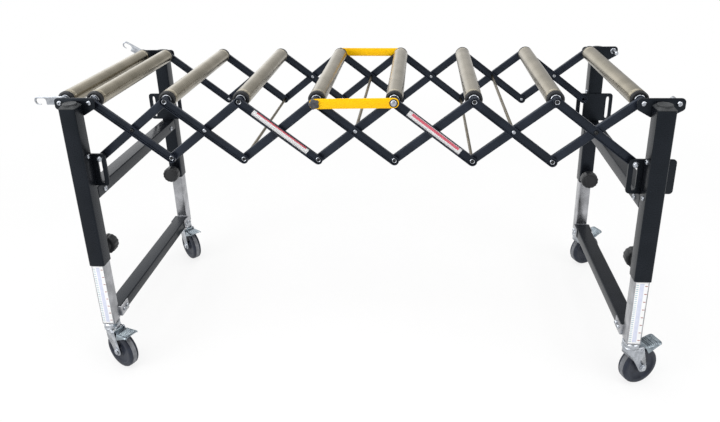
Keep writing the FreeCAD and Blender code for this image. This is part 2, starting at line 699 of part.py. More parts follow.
def make_link(side, face):
    """A locking link that turns on one axle's stud and is clamped to the next by a knob."""
    name = f"{side}_link"
    bar = fuse(f"{name}_bar", round_bar(name, face, LINK_NEAR, LINK_FAR, "-Size.roller_pitch",
                                        "Size.link_width"))
    stud_hole = pin_hole(f"{name}_stud_hole", face, "Size.axle_radius", "Size.pivot_clearance",
                         LINK_NEAR, LINK_FAR, "0", "0")
    screw_hole = pin_hole(f"{name}_screw_hole", face, "Size.screw_radius", "Size.pivot_clearance",
                          LINK_NEAR, LINK_FAR, "-Size.roller_pitch", "0")
    return node(name, [cut(f"{name}_drilled", bar, [stud_hole, screw_hole])])


def make_link_knob(side, face):
    """A small lobed knob with a screw through its link."""
    name = f"{side}_link_knob"
    far = f"({LINK_NEAR} - Size.link_knob_gap)"
    near = f"({far} - Size.link_knob_thick)"
    pieces = [
        pin(f"{name}_core", face, "Size.link_knob_radius", near, far, "0", "0"),
        pin(f"{name}_screw", face, "Size.screw_radius", near, f"{BACK_PIN_END} - Size.screw_tip_gap",
            "0", "0"),
    ]
    for lobe in range(LOBES):
        angle = f"{360 * lobe / LOBES}deg"
        pieces.append(pin(f"{name}_lobe_{lobe}", face, "Size.link_knob_lobe_radius", near, far,
                          f"Size.link_knob_radius * cos({angle})", f"Size.link_knob_radius * sin({angle})"))
    return node(name, [fuse(f"{name}_whole", pieces)])


# Assembly


for end, sign in ENDS.items():
    frame = [make_legs(end), make_top_brackets(end), make_slot_plates(end), make_axles(end, sign)]
    frame.append(make_bar(f"{end}_upper_crossbar", "Size.leg_width", "Size.upper_bar_height", "0",
                          UPPER_BAR_Z))
    frame.append(make_inner_legs(end))
    frame.append(make_bar(f"{end}_lower_crossbar", "Size.lower_bar_width", "Size.lower_bar_height",
                          f"{BAR_BRACKET_FACE} + Size.bar_bracket_clearance", LOWER_BAR_Z))
    for piece in frame:
        place(piece, f"{sign} * {LEG_X}")
    for side, face in FACES.items():
        place(make_height_knob(end, side, face), f"{sign} * {LEG_X}", "0", KNOB_Z)

for cell in range(CELLS):
    falling = make_falling_arms(cell)
    turn(falling, FreeCAD.Vector(0, 1, 0), ARM_SLOPE)
    place(falling, f"({cell} - {CELLS} / 2) * Size.roller_pitch", "0", AXLE_Z)
    rising = make_rising_arms(cell)
    turn(rising, FreeCAD.Vector(0, 1, 0), f"-1 * {ARM_SLOPE}")
    place(rising, f"({cell + 1} - {CELLS} / 2) * Size.roller_pitch", "0", AXLE_Z)

place(make_roller(1), f"-({LEG_X} + Size.end_bolt_reach)", "0", AXLE_Z)
for pivot in range(CELLS + 1):
    place(make_roller(pivot + 2), f"({pivot} - {CELLS} / 2) * Size.roller_pitch", "0", AXLE_Z)

caster = make_caster_pieces()
for end, sign in ENDS.items():
    for side, face in FACES.items():
        for kind, pieces in caster.items():
            piece = node(f"{end}_{side}_{kind}", pieces)
            turn(piece, FreeCAD.Vector(0, 0, 1), f"{CASTER_TURN[f'{end}_{side}']}")
            place(piece, f"{sign} * {LEG_X}", f"{face} * {LEG_Y}")

for side, face in FACES.items():
    hook = make_hook(side, face)
    turn(hook, FreeCAD.Vector(0, 1, 0), f"{HOOK_TURN[side]}")
    place(hook, f"-({LEG_X} + Size.end_bolt_reach)", "0", AXLE_Z)
    place(make_link(side, face), f"({LINK_CELL + 1} - {CELLS} / 2) * Size.roller_pitch", "0", AXLE_Z)
    place(make_link_knob(side, face), f"({LINK_CELL} - {CELLS} / 2) * Size.roller_pitch", "0", AXLE_Z)

doc.recompute()
for item in doc.Objects:
    if {"Invalid", "Error"} & set(item.State):
        raise RuntimeError(f"{item.Name} failed: {item.State}")
for item in NODES:
    if item.Shape.isNull() or not item.Shape.isValid():
        raise RuntimeError(f"{item.Label} has no valid shape")
os.makedirs("parts", exist_ok=True)
for item in NODES:
    item.Shape.exportStep(f"parts/{item.Label}.step")
    print(item.Label, len(item.Shape.Solids), round(item.Shape.Volume))
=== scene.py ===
"""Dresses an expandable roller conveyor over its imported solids.

The solids give every place: pivots come from the joints and ends from the nodes' boxes. Shapes are worked out
in millimetres about their own place and are put into the shared frame in metres.
"""
import json
import logging
import math
from dataclasses import dataclass
from enum import Enum
from typing import Any, Callable, Mapping, Sequence, Union

import bmesh
import bpy
import numpy as np
from mathutils import Matrix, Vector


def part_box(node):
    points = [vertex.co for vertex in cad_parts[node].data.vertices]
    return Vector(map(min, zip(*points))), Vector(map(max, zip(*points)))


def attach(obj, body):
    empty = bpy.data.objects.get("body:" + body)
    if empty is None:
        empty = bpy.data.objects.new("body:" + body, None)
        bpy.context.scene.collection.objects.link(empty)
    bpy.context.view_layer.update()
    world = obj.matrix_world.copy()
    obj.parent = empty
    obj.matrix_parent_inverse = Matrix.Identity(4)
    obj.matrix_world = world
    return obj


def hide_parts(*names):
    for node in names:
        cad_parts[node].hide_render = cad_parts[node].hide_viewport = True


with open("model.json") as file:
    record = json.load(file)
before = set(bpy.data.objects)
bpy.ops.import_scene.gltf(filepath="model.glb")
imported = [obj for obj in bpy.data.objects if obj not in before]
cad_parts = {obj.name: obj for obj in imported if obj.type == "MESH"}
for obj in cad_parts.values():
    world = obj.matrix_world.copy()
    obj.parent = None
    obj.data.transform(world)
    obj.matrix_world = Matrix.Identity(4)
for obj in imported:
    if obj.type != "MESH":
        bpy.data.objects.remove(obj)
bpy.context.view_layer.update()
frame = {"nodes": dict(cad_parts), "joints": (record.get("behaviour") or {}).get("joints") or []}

MM = 0.001
JOINTS = {joint["name"]: joint for joint in frame["joints"]}
CELLS = sum(name.startswith("mid_pivot") for name in JOINTS)
ROLLERS = sum(name.startswith("roller_") for name in JOINTS)
ALONG = np.array([1.0, 0.0, 0.0])
UP = np.array([0.0, 0.0, 1.0])
MERGE_DISTANCE = 1e-7

Points = Union[np.ndarray, Sequence[tuple[float, float]]]
log = logging.getLogger("conveyor")


class End(Enum):
    """The two end frames, by their direction along the conveyor."""

    LEFT = -1
    RIGHT = 1

    @property
    def label(self) -> str:
        """The end's name in node and body names."""
        return self.name.lower()


class Rail(Enum):
    """The two rails of arms, by the direction that faces outwards."""

    FRONT = -1
    BACK = 1

    @property
    def label(self) -> str:
        """The rail's name in node and body names."""
        return self.name.lower()


@dataclass(frozen=True)
class Place:
    """An origin and three directions that a shape stands in, in metres."""

    origin: np.ndarray
    u: np.ndarray
    v: np.ndarray
    w: np.ndarray

    def of(self, points: np.ndarray) -> np.ndarray:
        """Gives points measured along the three directions, in the shared frame."""
        return self.origin + points @ np.stack([self.u, self.v, self.w])

    def lifted(self, height: float) -> "Place":
        """Gives the place moved along its third direction by a height in millimetres."""
        return Place(self.origin + self.w * height * MM, self.u, self.v, self.w)


@dataclass
class Shape:
    """Points, in metres, and faces of a surface."""

    points: np.ndarray
    faces: list[list[int]]

    def at(self, place: Place) -> "Shape":
        """Gives the shape as it stands in a place."""
        return Shape(place.of(self.points), self.faces)


def joined(shapes: Sequence[Shape]) -> Shape:
    """Puts several shapes side by side in one.

    Args:
        shapes: the shapes, which keep their own points.

    Returns:
        One shape with all their points and faces.
    """
    starts = np.cumsum([0] + [len(shape.points) for shape in shapes[:-1]]).tolist()
    faces = [[corner + start for corner in face] for start, shape in zip(starts, shapes) for face in shape.faces]
    return Shape(np.concatenate([shape.points for shape in shapes]), faces)


def joint_at(name: str) -> np.ndarray:
    """Gives the place of a joint at rest, in metres."""
    return np.array(JOINTS[name]["pos_m"])


def turned_about_y(origin: np.ndarray, along: np.ndarray, facing: float = 1.0) -> Place:
    """Makes a place whose third direction runs across the conveyor.

    Args:
        origin: where it stands.
        along: its first direction, in the plane of a rail.
        facing: the sign of its third direction along Y.

    Returns:
        The place.
    """
    u = along / np.linalg.norm(along)
    w = np.array([0.0, facing, 0.0])
    return Place(origin, u, np.cross(w, u), w)


def facing_along(origin: np.ndarray, side: float) -> Place:
    """Makes a place whose third direction runs along the conveyor.

    Args:
        origin: where it stands.
        side: the sign of its third direction along X.

    Returns:
        The place, with its second direction up.
    """
    w = side * ALONG
    return Place(origin, np.cross(UP, w), UP, w)


def upright(origin: np.ndarray, angle: float = 0.0) -> Place:
    """Makes a place with its third direction up, turned about it.

    Args:
        origin: where it stands.
        angle: how far its first direction is turned from X, in radians.

    Returns:
        The place.
    """
    u = np.array([math.cos(angle), math.sin(angle), 0.0])
    return Place(origin, u, np.cross(UP, u), UP)


# Surfaces


def skin(rows: np.ndarray, closed: bool = True, looped: bool = False, capped: bool = True) -> Shape:
    """Covers a stack of rows of points with quads: each point meets its neighbours in its row and its column.

    Args:
        rows: points of shape (rows, columns, 3), in metres.
        closed: whether each row is a loop.
        looped: whether the last row meets the first.
        capped: whether a flat face closes the first and the last row.

    Returns:
        The surface.
    """
    count, width = rows.shape[:2]
    numbers = np.arange(count * width).reshape(count, width)
    grid = np.hstack([numbers, numbers[:, :1]]) if closed else numbers
    grid = np.vstack([grid, grid[:1]]) if looped else grid
    quads = np.stack([grid[:-1, :-1], grid[:-1, 1:], grid[1:, 1:], grid[1:, :-1]], axis=-1)
    faces = quads.reshape(-1, 4).tolist()
    if capped and not looped:
        faces += [numbers[0, ::-1].tolist(), numbers[-1].tolist()]
    return Shape(rows.reshape(-1, 3), faces)


def raised(outline: np.ndarray, height: np.ndarray) -> np.ndarray:
    """Sets flat outlines of shape (rows, columns, 2) at one height a row."""
    lift = np.broadcast_to(np.asarray(height)[:, None, None], outline.shape[:2] + (1,))
    return np.concatenate([outline, lift], axis=-1)


def directions(angle: np.ndarray) -> np.ndarray:
    """Gives the flat directions (cos a, sin a) of angles, of shape (angles, 2)."""
    return np.stack([np.cos(angle), np.sin(angle)], axis=-1)


def full_turn(steps: int) -> np.ndarray:
    """Gives evenly spaced angles round a circle, in radians."""
    return np.arange(steps) * 2 * math.pi / steps


def rounded(corners: Points, radius: Union[float, Sequence[float]], steps: int = 6) -> np.ndarray:
    """Rounds the corners of a closed outline: each becomes an arc that touches both of its edges.

    Args:
        corners: the sharp corners in order, in millimetres.
        radius: the radius of all corners, or one for each.
        steps: points on each arc.

    Returns:
        The outline as points of shape (corners * steps, 2), in millimetres.
    """
    tip = np.array(corners, dtype=float)
    size = np.broadcast_to(np.asarray(radius, dtype=float), len(tip))[:, None]
    back = np.roll(tip, 1, axis=0) - tip
    ahead = np.roll(tip, -1, axis=0) - tip
    back /= np.linalg.norm(back, axis=1, keepdims=True)
    ahead /= np.linalg.norm(ahead, axis=1, keepdims=True)
    half = np.arccos(np.clip((back * ahead).sum(axis=1, keepdims=True), -1, 1)) / 2
    middle = (back + ahead) / np.linalg.norm(back + ahead, axis=1, keepdims=True)
    centre = tip + middle * size / np.sin(half)
    first = tip + back * size / np.tan(half) - centre
    last = tip + ahead * size / np.tan(half) - centre
    sweep = np.maximum(math.pi - 2 * half, 1e-6)[:, :, None]
    share = np.linspace(0, 1, steps)[None, :, None]
    arc = np.sin((1 - share) * sweep) * first[:, None] + np.sin(share * sweep) * last[:, None]
    return (centre[:, None] + arc / np.sin(sweep)).reshape(-1, 2)


def stadium(length: float, half: float, steps: int = 12) -> np.ndarray:
    """Gives the outline of a bar with round ends: a half circle about the origin and its mirror image a length along.

    Args:
        length: the distance between the centres of its ends, in millimetres.
        half: half its width.
        steps: points on each half circle.

    Returns:
        The outline as points of shape (2 * steps, 2).
    """
    arc = half * directions(np.linspace(math.pi / 2, 3 * math.pi / 2, steps))
    return np.concatenate([arc, [length, 0] - arc])


def inset(outline: np.ndarray, distance: np.ndarray) -> np.ndarray:
    """Moves a closed outline inwards: each point slides along the middle of its two edges' normals.

    Args:
        outline: points of shape (columns, 2), anticlockwise.
        distance: how far for each row.

    Returns:
        Outlines of shape (rows, columns, 2).
    """
    edge = np.roll(outline, -1, axis=0) - outline
    edge /= np.maximum(np.linalg.norm(edge, axis=1, keepdims=True), 1e-9)
    normal = np.stack([-edge[:, 1], edge[:, 0]], axis=-1)
    both = normal + np.roll(normal, 1, axis=0)
    slide = 2 * both / np.maximum((both ** 2).sum(axis=1, keepdims=True), 0.5)
    return outline[None] + np.asarray(distance)[:, None, None] * slide[None]


def slab(outline: np.ndarray, thick: float, edge: float = 0.8, foot: float = 0.0, steps: int = 3) -> Shape:
    """A flat plate with eased edges: near each face a row is inset by edge (1 - sin a) at a depth edge (1 - cos a).

    Args:
        outline: its outline, anticlockwise, in millimetres.
        thick: its thickness along the third direction.
        edge: the radius of its eased edges.
        foot: where its lower face lies.
        steps: rows on each eased edge.

    Returns:
        The plate.
    """
    turn = np.linspace(0, math.pi / 2, steps)
    inwards = edge * (1 - np.sin(turn))
    depth = edge * (1 - np.cos(turn))
    height = np.concatenate([foot + depth, foot + thick - depth[::-1]])
    rows = raised(inset(outline, np.concatenate([inwards, inwards[::-1]])), height)
    return skin(rows * MM)


def pan(outline: np.ndarray, depth: float, wall: float, bend: float = 2.2, steps: int = 4) -> Shape:
    """A pressed pan: its section runs from the flat web over a quarter circle to a rim, and down inside the rim.

    Args:
        outline: its outline, anticlockwise, in millimetres.
        depth: its height from the outside of the web to the top of the rim.
        wall: its wall thickness.
        bend: the outer radius between web and rim.
        steps: rows on that bend.

    Returns:
        The pan, open along its third direction.
    """
    easing, root = 0.3, 1.0
    turn = np.linspace(0, math.pi / 2, steps)
    over_rim = [0, easing, wall - easing, wall, wall, wall + root]
    up_rim = [depth - easing, depth, depth, depth - easing, wall + root, wall]
    inwards = np.concatenate([bend * (1 - np.sin(turn)), over_rim])
    height = np.concatenate([bend * (1 - np.cos(turn)), up_rim])
    return skin(raised(inset(outline, inwards), height) * MM)


def tube(outer: np.ndarray, wall: float, low: float, high: float) -> Shape:
    """A tube of an outline: outer wall, top rim, inner wall and lower rim are the four sides of a looped grid.

    Args:
        outer: the outline of its outside, anticlockwise, in millimetres.
        wall: its wall thickness.
        low: where it starts along the third direction.
        high: where it ends.

    Returns:
        The tube, open at both ends.
    """
    easing = 0.6
    outlines = inset(outer, np.array([easing, 0, 0, easing, wall, wall]))
    heights = np.array([low, low + easing, high - easing, high, high, low])
    return skin(raised(outlines, heights) * MM, looped=True)


def turned(height: np.ndarray, radius: np.ndarray, looped: bool = False) -> Shape:
    """Turns rows about the third direction: a point is (r cos a, r sin a, h), where r may vary with a.

    Args:
        height: the height of each row, in millimetres.
        radius: radii of shape (rows, columns), with one column for each angle of a full turn.
        looped: whether the last row meets the first, as for a ring.

    Returns:
        The turned surface, with flat ends where it stops short of the axis.
    """
    circle = directions(full_turn(radius.shape[1]))
    return skin(raised(radius[:, :, None] * circle[None], height) * MM, looped=looped)


def lathe(profile: Points, steps: int = 40, looped: bool = False) -> Shape:
    """Turns a profile about the third direction, with the same radius all round.

    Args:
        profile: pairs of height and radius, in millimetres.
        steps: sides round the axis.
        looped: whether the profile closes on itself, as for a ring.

    Returns:
        The turned surface, with flat ends where the profile stops short of the axis.
    """
    height, radius = np.array(profile, dtype=float).T
    return turned(height, np.repeat(radius[:, None], steps, axis=1), looped)


def patch(left: float, right: float, low: float, high: float) -> np.ndarray:
    """Gives the corners of a rectangle, anticlockwise, in millimetres."""
    return np.array([(left, low), (right, low), (right, high), (left, high)])


def square(width: float, depth: float, corner: float) -> np.ndarray:
    """Gives a rectangle with round corners about the origin, in millimetres."""
    x, y = width / 2, depth / 2
    return rounded(patch(-x, x, -y, y), corner)


# Fasteners, standing on the plane of their first two directions. Their profiles are shares of a height and a radius.


BUTTON = ((0, 1), (0.45, 1), (0.8, 0.86), (1, 0.6), (1, 0.36), (0.45, 0.33))
EYELET = ((0, 1), (0.4, 1), (0.8, 0.92), (1, 0.78), (0.85, 0.64), (0.5, 0.58), (0.1, 0.56))
# The dark disc in a rivet's eye: painted shade, where the deep eye is only in shade.
EYE_SHADE = ((0.05, 0.57), (0.3, 0.57))
NUT = ((0, 0.96), (0.08, 1), (0.85, 1), (1, 0.88))
WASHER = ((0, 1), (0.6, 1), (1, 0.94))


def scaled(profile: Points, radius: float, height: float, steps: int) -> Shape:
    """Turns a profile of shares, each times its height or radius in millimetres, with so many sides."""
    return lathe(np.array(profile) * [height, radius], steps)


def button_head(radius: float, height: float) -> Shape:
    """A round bolt head with a domed rim and a socket in its middle."""
    return scaled(BUTTON, radius, height, 24)


def eyelet(radius: float, height: float) -> Shape:
    """A rolled rivet head: a rounded ring about a deep eye."""
    return scaled(EYELET, radius, height, 28)


def eye(radius: float, height: float) -> Shape:
    """A dark disc at the bottom of a rivet's eye: painted shade, where the deep eye is only in shade."""
    return scaled(EYE_SHADE, radius, height, 20)


def hex_nut(radius: float, height: float) -> Shape:
    """A six-sided nut or bolt head with its upper corners turned off."""
    return scaled(NUT, radius, height, 6)


def washer(radius: float, height: float) -> Shape:
    """A flat washer with an eased rim."""
    return scaled(WASHER, radius, height, 28)


def capped_rod(radius: float, start: float, end: float) -> Shape:
    """A plain rod with bevelled ends."""
    bevel = 0.15 * radius
    return lathe([(start, radius - bevel), (start + bevel, radius), (end - bevel, radius), (end, radius - bevel)], 20)


# Printed strips, standing on the plane of their first two directions


def film(outline: np.ndarray) -> Shape:
    """A thin film of an outline."""
    return slab(outline, thick=0.15, edge=0.05)


def print_on_film(outline: np.ndarray) -> Shape:
    """A printed area of an outline, a little above its film."""
    return slab(outline, thick=0.06, edge=0.01, foot=0.16)


# Finishes


def linear(colour: str) -> tuple[float, float, float, float]:
    """Turns a hex sRGB colour into linear light.

    Args:
        colour: such as "#a0b1c2".

    Returns:
        Linear red, green, blue and an alpha of 1.
    """
    share = np.array([int(colour[place:place + 2], 16) for place in (1, 3, 5)]) / 255
    light = np.where(share <= 0.04045, share / 12.92, ((share + 0.055) / 1.055) ** 2.4)
    return (*light.tolist(), 1.0)


def add_node(
    tree: bpy.types.NodeTree,
    kind: str,
    inputs: Mapping[Union[str, int], Any] = {},
    settings: Mapping[str, Any] = {},
    stops: Sequence[tuple[float, str]] = (),
) -> bpy.types.Node:
    """Adds a node with its settings and links.

    Args:
        tree: the tree that it goes into.
        kind: its type.
        inputs: a value or a socket for each of its inputs, by name or number.
        settings: its own properties.
        stops: for a colour ramp, pairs of a place and a colour.

    Returns:
        The node.
    """
    node = tree.nodes.new(kind)
    for name, setting in settings.items():
        setattr(node, name, setting)
    for number, (place, colour) in enumerate(stops):
        ramp = node.color_ramp.elements
        stop = ramp[number] if number < 2 else ramp.new(place)
        stop.position = place
        stop.color = linear(colour)
    for name, source in inputs.items():
        if isinstance(source, bpy.types.NodeSocket):
            tree.links.new(source, node.inputs[name])
        else:
            node.inputs[name].default_value = source
    return node


def cleared_tree(owner: Union[bpy.types.Material, bpy.types.World]) -> bpy.types.NodeTree:
    """Gives the node tree of a material or a world, with nothing in it.

    Args:
        owner: the material or the world.

    Returns:
        Its empty tree.
    """
    owner.use_nodes = True
    owner.node_tree.nodes.clear()
    return owner.node_tree


@dataclass(frozen=True)
class Finish:
    """A surface of two tones in soft patches, with a finer grain that varies its gloss and its relief.

    Sizes are in millimetres, and the grain may be longer in one direction than in another. The spreads are the
    parts of the two noises over which the tone and the gloss change.
    """

    name: str
    slot: str
    tones: tuple[str, str]
    patch: float
    metallic: float
    gloss: tuple[float, float]
    grain: tuple[float, float, float]
    relief: float
    specular: float = 0.5
    tint: str = "#ffffff"
    patch_spread: tuple[float, float] = (0.35, 0.65)
    grain_spread: tuple[float, float] = (0.3, 0.7)
    bump: float = 0.6

    def material(self) -> bpy.types.Material:
        """Gives the finish's material, made on its first use."""
        known = bpy.data.materials.get(self.name)
        return known or self.make()

    def make(self) -> bpy.types.Material:
        """Makes the node material.

        Returns:
            The new material.
        """
        material = bpy.data.materials.new(self.name)
        tree = cleared_tree(material)
        where = add_node(tree, "ShaderNodeTexCoord").outputs["Object"]
        patches = add_node(tree, "ShaderNodeTexNoise", {"Vector": where, "Scale": 1 / (self.patch * MM), "Detail": 3.0})
        tone = add_node(
            tree, "ShaderNodeValToRGB", {"Fac": patches.outputs["Fac"]},
            stops=list(zip(self.patch_spread, self.tones)),
        )
        stretched = add_node(
            tree, "ShaderNodeMapping", {"Vector": where, "Scale": tuple(1 / (size * MM) for size in self.grain)},
        )
        grain = add_node(
            tree, "ShaderNodeTexNoise", {"Vector": stretched.outputs["Vector"], "Scale": 1.0, "Detail": 4.0},
        )
        rough = add_node(tree, "ShaderNodeMapRange", {
            "Value": grain.outputs["Fac"], "From Min": self.grain_spread[0], "From Max": self.grain_spread[1],
            "To Min": self.gloss[0], "To Max": self.gloss[1],
        })
        bump = add_node(tree, "ShaderNodeBump", {
            "Height": grain.outputs["Fac"], "Distance": self.relief * MM, "Strength": self.bump,
        })
        shader = add_node(tree, "ShaderNodeBsdfPrincipled", {
            "Base Color": tone.outputs["Color"], "Metallic": self.metallic,
            "Roughness": rough.outputs["Result"], "Normal": bump.outputs["Normal"],
            "Specular IOR Level": self.specular, "Specular Tint": linear(self.tint),
        })
        add_node(tree, "ShaderNodeOutputMaterial", {"Surface": shader.outputs["BSDF"]})
        return material


# Powder coat baked on steel: near black and faintly blue, with a soft sheen over a faint orange peel. The peel is
# under a millimetre on the real coat and is drawn at 3 mm so that it shows.
BLACK_COAT = Finish(
    "black_powder_coat", "black_paint", ("#0d0f13", "#14161b"), 70, 0.0, (0.24, 0.34), (3, 3, 3), 0.06, 0.22,
    "#dcedff",
)
# The same coat on the thin arms, drawn a little greyer and bluer, with a little more sheen.
ARM_COAT = Finish(
    "arm_powder_coat", "black_paint", ("#171a22", "#20242e"), 40, 0.0, (0.26, 0.38), (3, 3, 3), 0.06, 0.28,
    "#dcedff",
)
# Bright zinc plate with a clear chromate: cool and mirror-like, clouded in wide patches.
ZINC = Finish("bright_zinc_plate", "zinc", ("#989ca2", "#bcc0c6"), 14, 1.0, (0.14, 0.28), (9, 9, 9), 0.02)
# The pedals' zinc, duller and bluer than the plated parts, and darker as painted shade for its ribbed tread.
PEDAL_ZINC_PAINTED_SHADE = Finish("blue_zinc_plate", "zinc", ("#78828a", "#98a2a8"), 12, 1.0, (0.20, 0.34), (9, 9, 9), 0.02)
# Galvanised square tube: greyer, with broad spangle.
LEG_ZINC = Finish("galvanised_leg", "zinc", ("#8d8e91", "#b0b1b5"), 34, 1.0, (0.18, 0.34), (12, 12, 40), 0.02)
# Galvanised tube drawn and polished lengthways, then spun: warm olive grey with fine rings round it.
ROLLER_STEEL = Finish("galvanised_tube", "roller", ("#857f70", "#968f80"), 60, 1.0, (0.24, 0.34), (60, 2.5, 60), 0.012)
# Drawn steel rod under thin oil: darker and warmer than the plated parts.
ROD_STEEL = Finish("drawn_rod", "zinc", ("#6c6556", "#80796a"), 25, 1.0, (0.30, 0.42), (8, 40, 8), 0.01)
# Moulded nylon: black, matt, with the fine spark texture of its mould.
BLACK_NYLON = Finish(
    "moulded_nylon", "black_plastic", ("#141518", "#1d1f22"), 30, 0.0, (0.36, 0.50), (2, 2, 2), 0.06, 0.4,
)
# The leg caps' softer grey polyethylene.
GREY_PLASTIC = Finish(
    "grey_polyethylene", "black_plastic", ("#27292b", "#323436"), 20, 0.0, (0.48, 0.62), (2, 2, 2), 0.06, 0.4,
)
# The link knobs' dark grey nylon, a little dusty.
KNOB_GREY = Finish("grey_nylon", "black_plastic", ("#3a3b3f", "#4c4d51"), 7, 0.0, (0.40, 0.55), (2, 2, 2), 0.06, 0.4)
# Yellow enamel sprayed over a steel strip: even, glossy and slightly wavy.
YELLOW_ENAMEL = Finish(
    "yellow_enamel", "yellow_paint", ("#ffc300", "#ffc900"), 90, 0.0, (0.40, 0.44), (24, 24, 24), 0.004, 0.2,
)
# Hard rubber on a moulded wheel: dark blue-grey and satin, with a moulding bloom.
WHEEL_RUBBER = Finish(
    "hard_rubber", "wheel", ("#1a1f2b", "#272d3a"), 18, 0.0, (0.42, 0.56), (2.5, 2.5, 2.5), 0.06, 0.3,
)
# The running band of the same rubber, lighter grey and matt.
GREY_TREAD = Finish("scuffed_rubber", "wheel", ("#66686d", "#808287"), 9, 0.0, (0.60, 0.75), (1.5, 1.5, 1.5), 0.10)
# Printed vinyl: a calendered white film, even and smooth, with a slight sheen.
WHITE_VINYL = Finish("white_vinyl", "black_paint", ("#f6f6f7", "#fcfcfc"), 12, 0.0, (0.35, 0.45), (3, 3, 3), 0.02)
# Screen inks on that film: flat, even colours with the film's sheen.
RED_INK = Finish("red_ink", "black_paint", ("#dc4d60", "#e65f70"), 8, 0.0, (0.35, 0.45), (3, 3, 3), 0.02)
PINK_INK = Finish("pink_ink", "black_paint", ("#ea6478", "#f17587"), 8, 0.0, (0.35, 0.45), (3, 3, 3), 0.02)
BROWN_INK = Finish("brown_ink", "black_paint", ("#93463c", "#a3544a"), 5, 0.0, (0.35, 0.45), (3, 3, 3), 0.02)
TICK_INK = Finish("blue_grey_ink", "black_paint", ("#86afbd", "#97bcc8"), 8, 0.0, (0.35, 0.45), (3, 3, 3), 0.02)
PALE_INK = Finish("pale_blue_ink", "black_paint", ("#d3d8ec", "#dde1f1"), 8, 0.0, (0.35, 0.45), (3, 3, 3), 0.02)


def add_piece(
    name: str, shapes: Sequence[Shape], finish: Finish, body: str, stands_for: Sequence[str] = (), crease: float = 32.0,
) -> bpy.types.Object:
    """Makes one object of shapes that share a finish and a body.

    Args:
        name: the object's name.
        shapes: its surfaces in the shared frame.
        finish: what it is dressed in.
        body: the body that it moves with.
        stands_for: nodes of the frame that it replaces.
        crease: the angle, in degrees, above which an edge stays sharp.

    Returns:
        The object.
    """
    whole = joined(shapes)
    mesh = bpy.data.meshes.new(name)
    mesh.from_pydata(whole.points.tolist(), [], whole.faces)
    work = bmesh.new()
    work.from_mesh(mesh)
    bmesh.ops.remove_doubles(work, verts=work.verts, dist=MERGE_DISTANCE)
    bmesh.ops.recalc_face_normals(work, faces=work.faces)
    work.to_mesh(mesh)
    work.free()
    mesh.shade_smooth()
    mesh.set_sharp_from_angle(angle=math.radians(crease))
    mesh.materials.append(finish.material())
    item = bpy.data.objects.new(name, mesh)
    bpy.context.scene.collection.objects.link(item)
    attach(item, body)
    if stands_for:
        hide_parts(*stands_for)
    log.info("%s on %s: %d faces", name, body, len(mesh.polygons))
    return item


def dress_node(name: str, finish: Finish) -> None:
    """Gives a node of the frame that stays in view its finish.

    Args:
        name: the node's name.
        finish: what it is dressed in.
    """
    mesh = frame["nodes"][name].data
    mesh.materials.clear()
    mesh.materials.append(finish.material())
    log.info("%s keeps its solid", name)


# Sub-assemblies, with their sizes in millimetres


@dataclass(frozen=True)
class RailDepths:
    """Where the layers of a rail lie, inwards from the inner faces of its legs."""

    leg_width: float = 38.0
    outer_near: float = 5.0
    inner_near: float = 14.0
    arm_thick: float = 8.0
    link_near: float = 4.6

    @property
    def leg_face(self) -> float:
        """How far the legs' inner faces are from the middle of the conveyor."""
        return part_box("left_legs")[1][1] / MM - self.leg_width

    def y(self, rail: Rail, depth: float) -> float:
        """Gives the place along Y of a depth of one rail, in metres."""
        return rail.value * (self.leg_face - depth) * MM


DEPTHS = RailDepths()


@dataclass
class Roller:
    """One tube roller with its moulded end caps."""

    number: int
    radius: float = 19.0
    tube_sides: int = 64
    ring_places: tuple[float, float] = (9.0, 5.0)
    ring_depth: float = 0.45
    cap_length: float = 9.0
    cap_bore: float = 5.4
    ridge_places: tuple[float, float, float] = (0.2, 3.0, 5.8)
    ridge_depth: float = 1.3
    face_recess: float = 1.4
    bearing_radius: float = 11.2
    bearing_bore: float = 5.2
    collar_length: float = 3.6
    collar_radius: float = 7.4

    def build(self) -> None:
        """Makes the tube, the two caps and their bearing rings."""
        node = f"roller_{self.number}"
        low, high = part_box(node)
        half = (high[1] - low[1]) / 2 / MM
        middle = joint_at(f"{node}_spin")
        ends = [turned_about_y(middle, ALONG, facing) for facing in (-1, 1)]
        add_piece(f"{node}.tube", [self.tube(half).at(ends[1])], ROLLER_STEEL, node, [node])
        add_piece(f"{node}.caps", [self.cap(half).at(end) for end in ends], BLACK_NYLON, node)
        add_piece(f"{node}.rings", [self.bearing_ring(half).at(end) for end in ends], ZINC, node)

    def tube(self, half: float) -> Shape:
        """The steel tube: a turned profile with two rolled rings near each end and rims turned in against the caps.

        Args:
            half: half the roller's length.

        Returns:
            The tube about the roller's middle.
        """
        end, size, deep = half - self.cap_length, self.radius, self.ring_depth
        ring = ((1.6, 0.0), (1.1, deep), (0.5, deep), (0.0, 0.0))
        rings = [(end - start - before, size - drop) for start in self.ring_places for before, drop in ring]
        side = rings + [(end - 1.4, size), (end - 0.4, size - 0.4), (end, size - 1.2)]
        return lathe([(-place, reach) for place, reach in side[::-1]] + side, self.tube_sides)

    def cap(self, half: float) -> Shape:
        """A cap: a turned profile with three ridges round the tube's end and a stepped face about the bearing.

        Args:
            half: half the roller's length.

        Returns:
            The cap at that distance along the third direction.
        """
        base, size, floor = half - self.cap_length, self.radius, half - self.face_recess
        ridge = ((0.0, self.ridge_depth), (0.4, 0.1), (1.8, 0.0), (2.2, self.ridge_depth))
        ridges = [(base + start + step, size - drop) for start in self.ridge_places for step, drop in ridge]
        face = [(half - 0.3, size - 2.2), (half, size - 3.4), (half, 14.2), (floor, 13.6), (floor, self.cap_bore)]
        return lathe(ridges + face, steps=48)

    def bearing_ring(self, half: float) -> Shape:
        """The plated bearing in a cap's face: a flat turned ring with a collar that stands off the arms.

        Args:
            half: half the roller's length.

        Returns:
            The ring at that distance along the third direction.
        """
        base, rim = half - self.face_recess, half + self.collar_length
        return lathe([
            (base, self.bearing_bore), (rim, self.bearing_bore), (rim, self.collar_radius), (half + 1.0, 7.6),
            (half + 0.8, 10.4), (half + 0.2, self.bearing_radius), (base, self.bearing_radius),
        ], steps=32, looped=True)


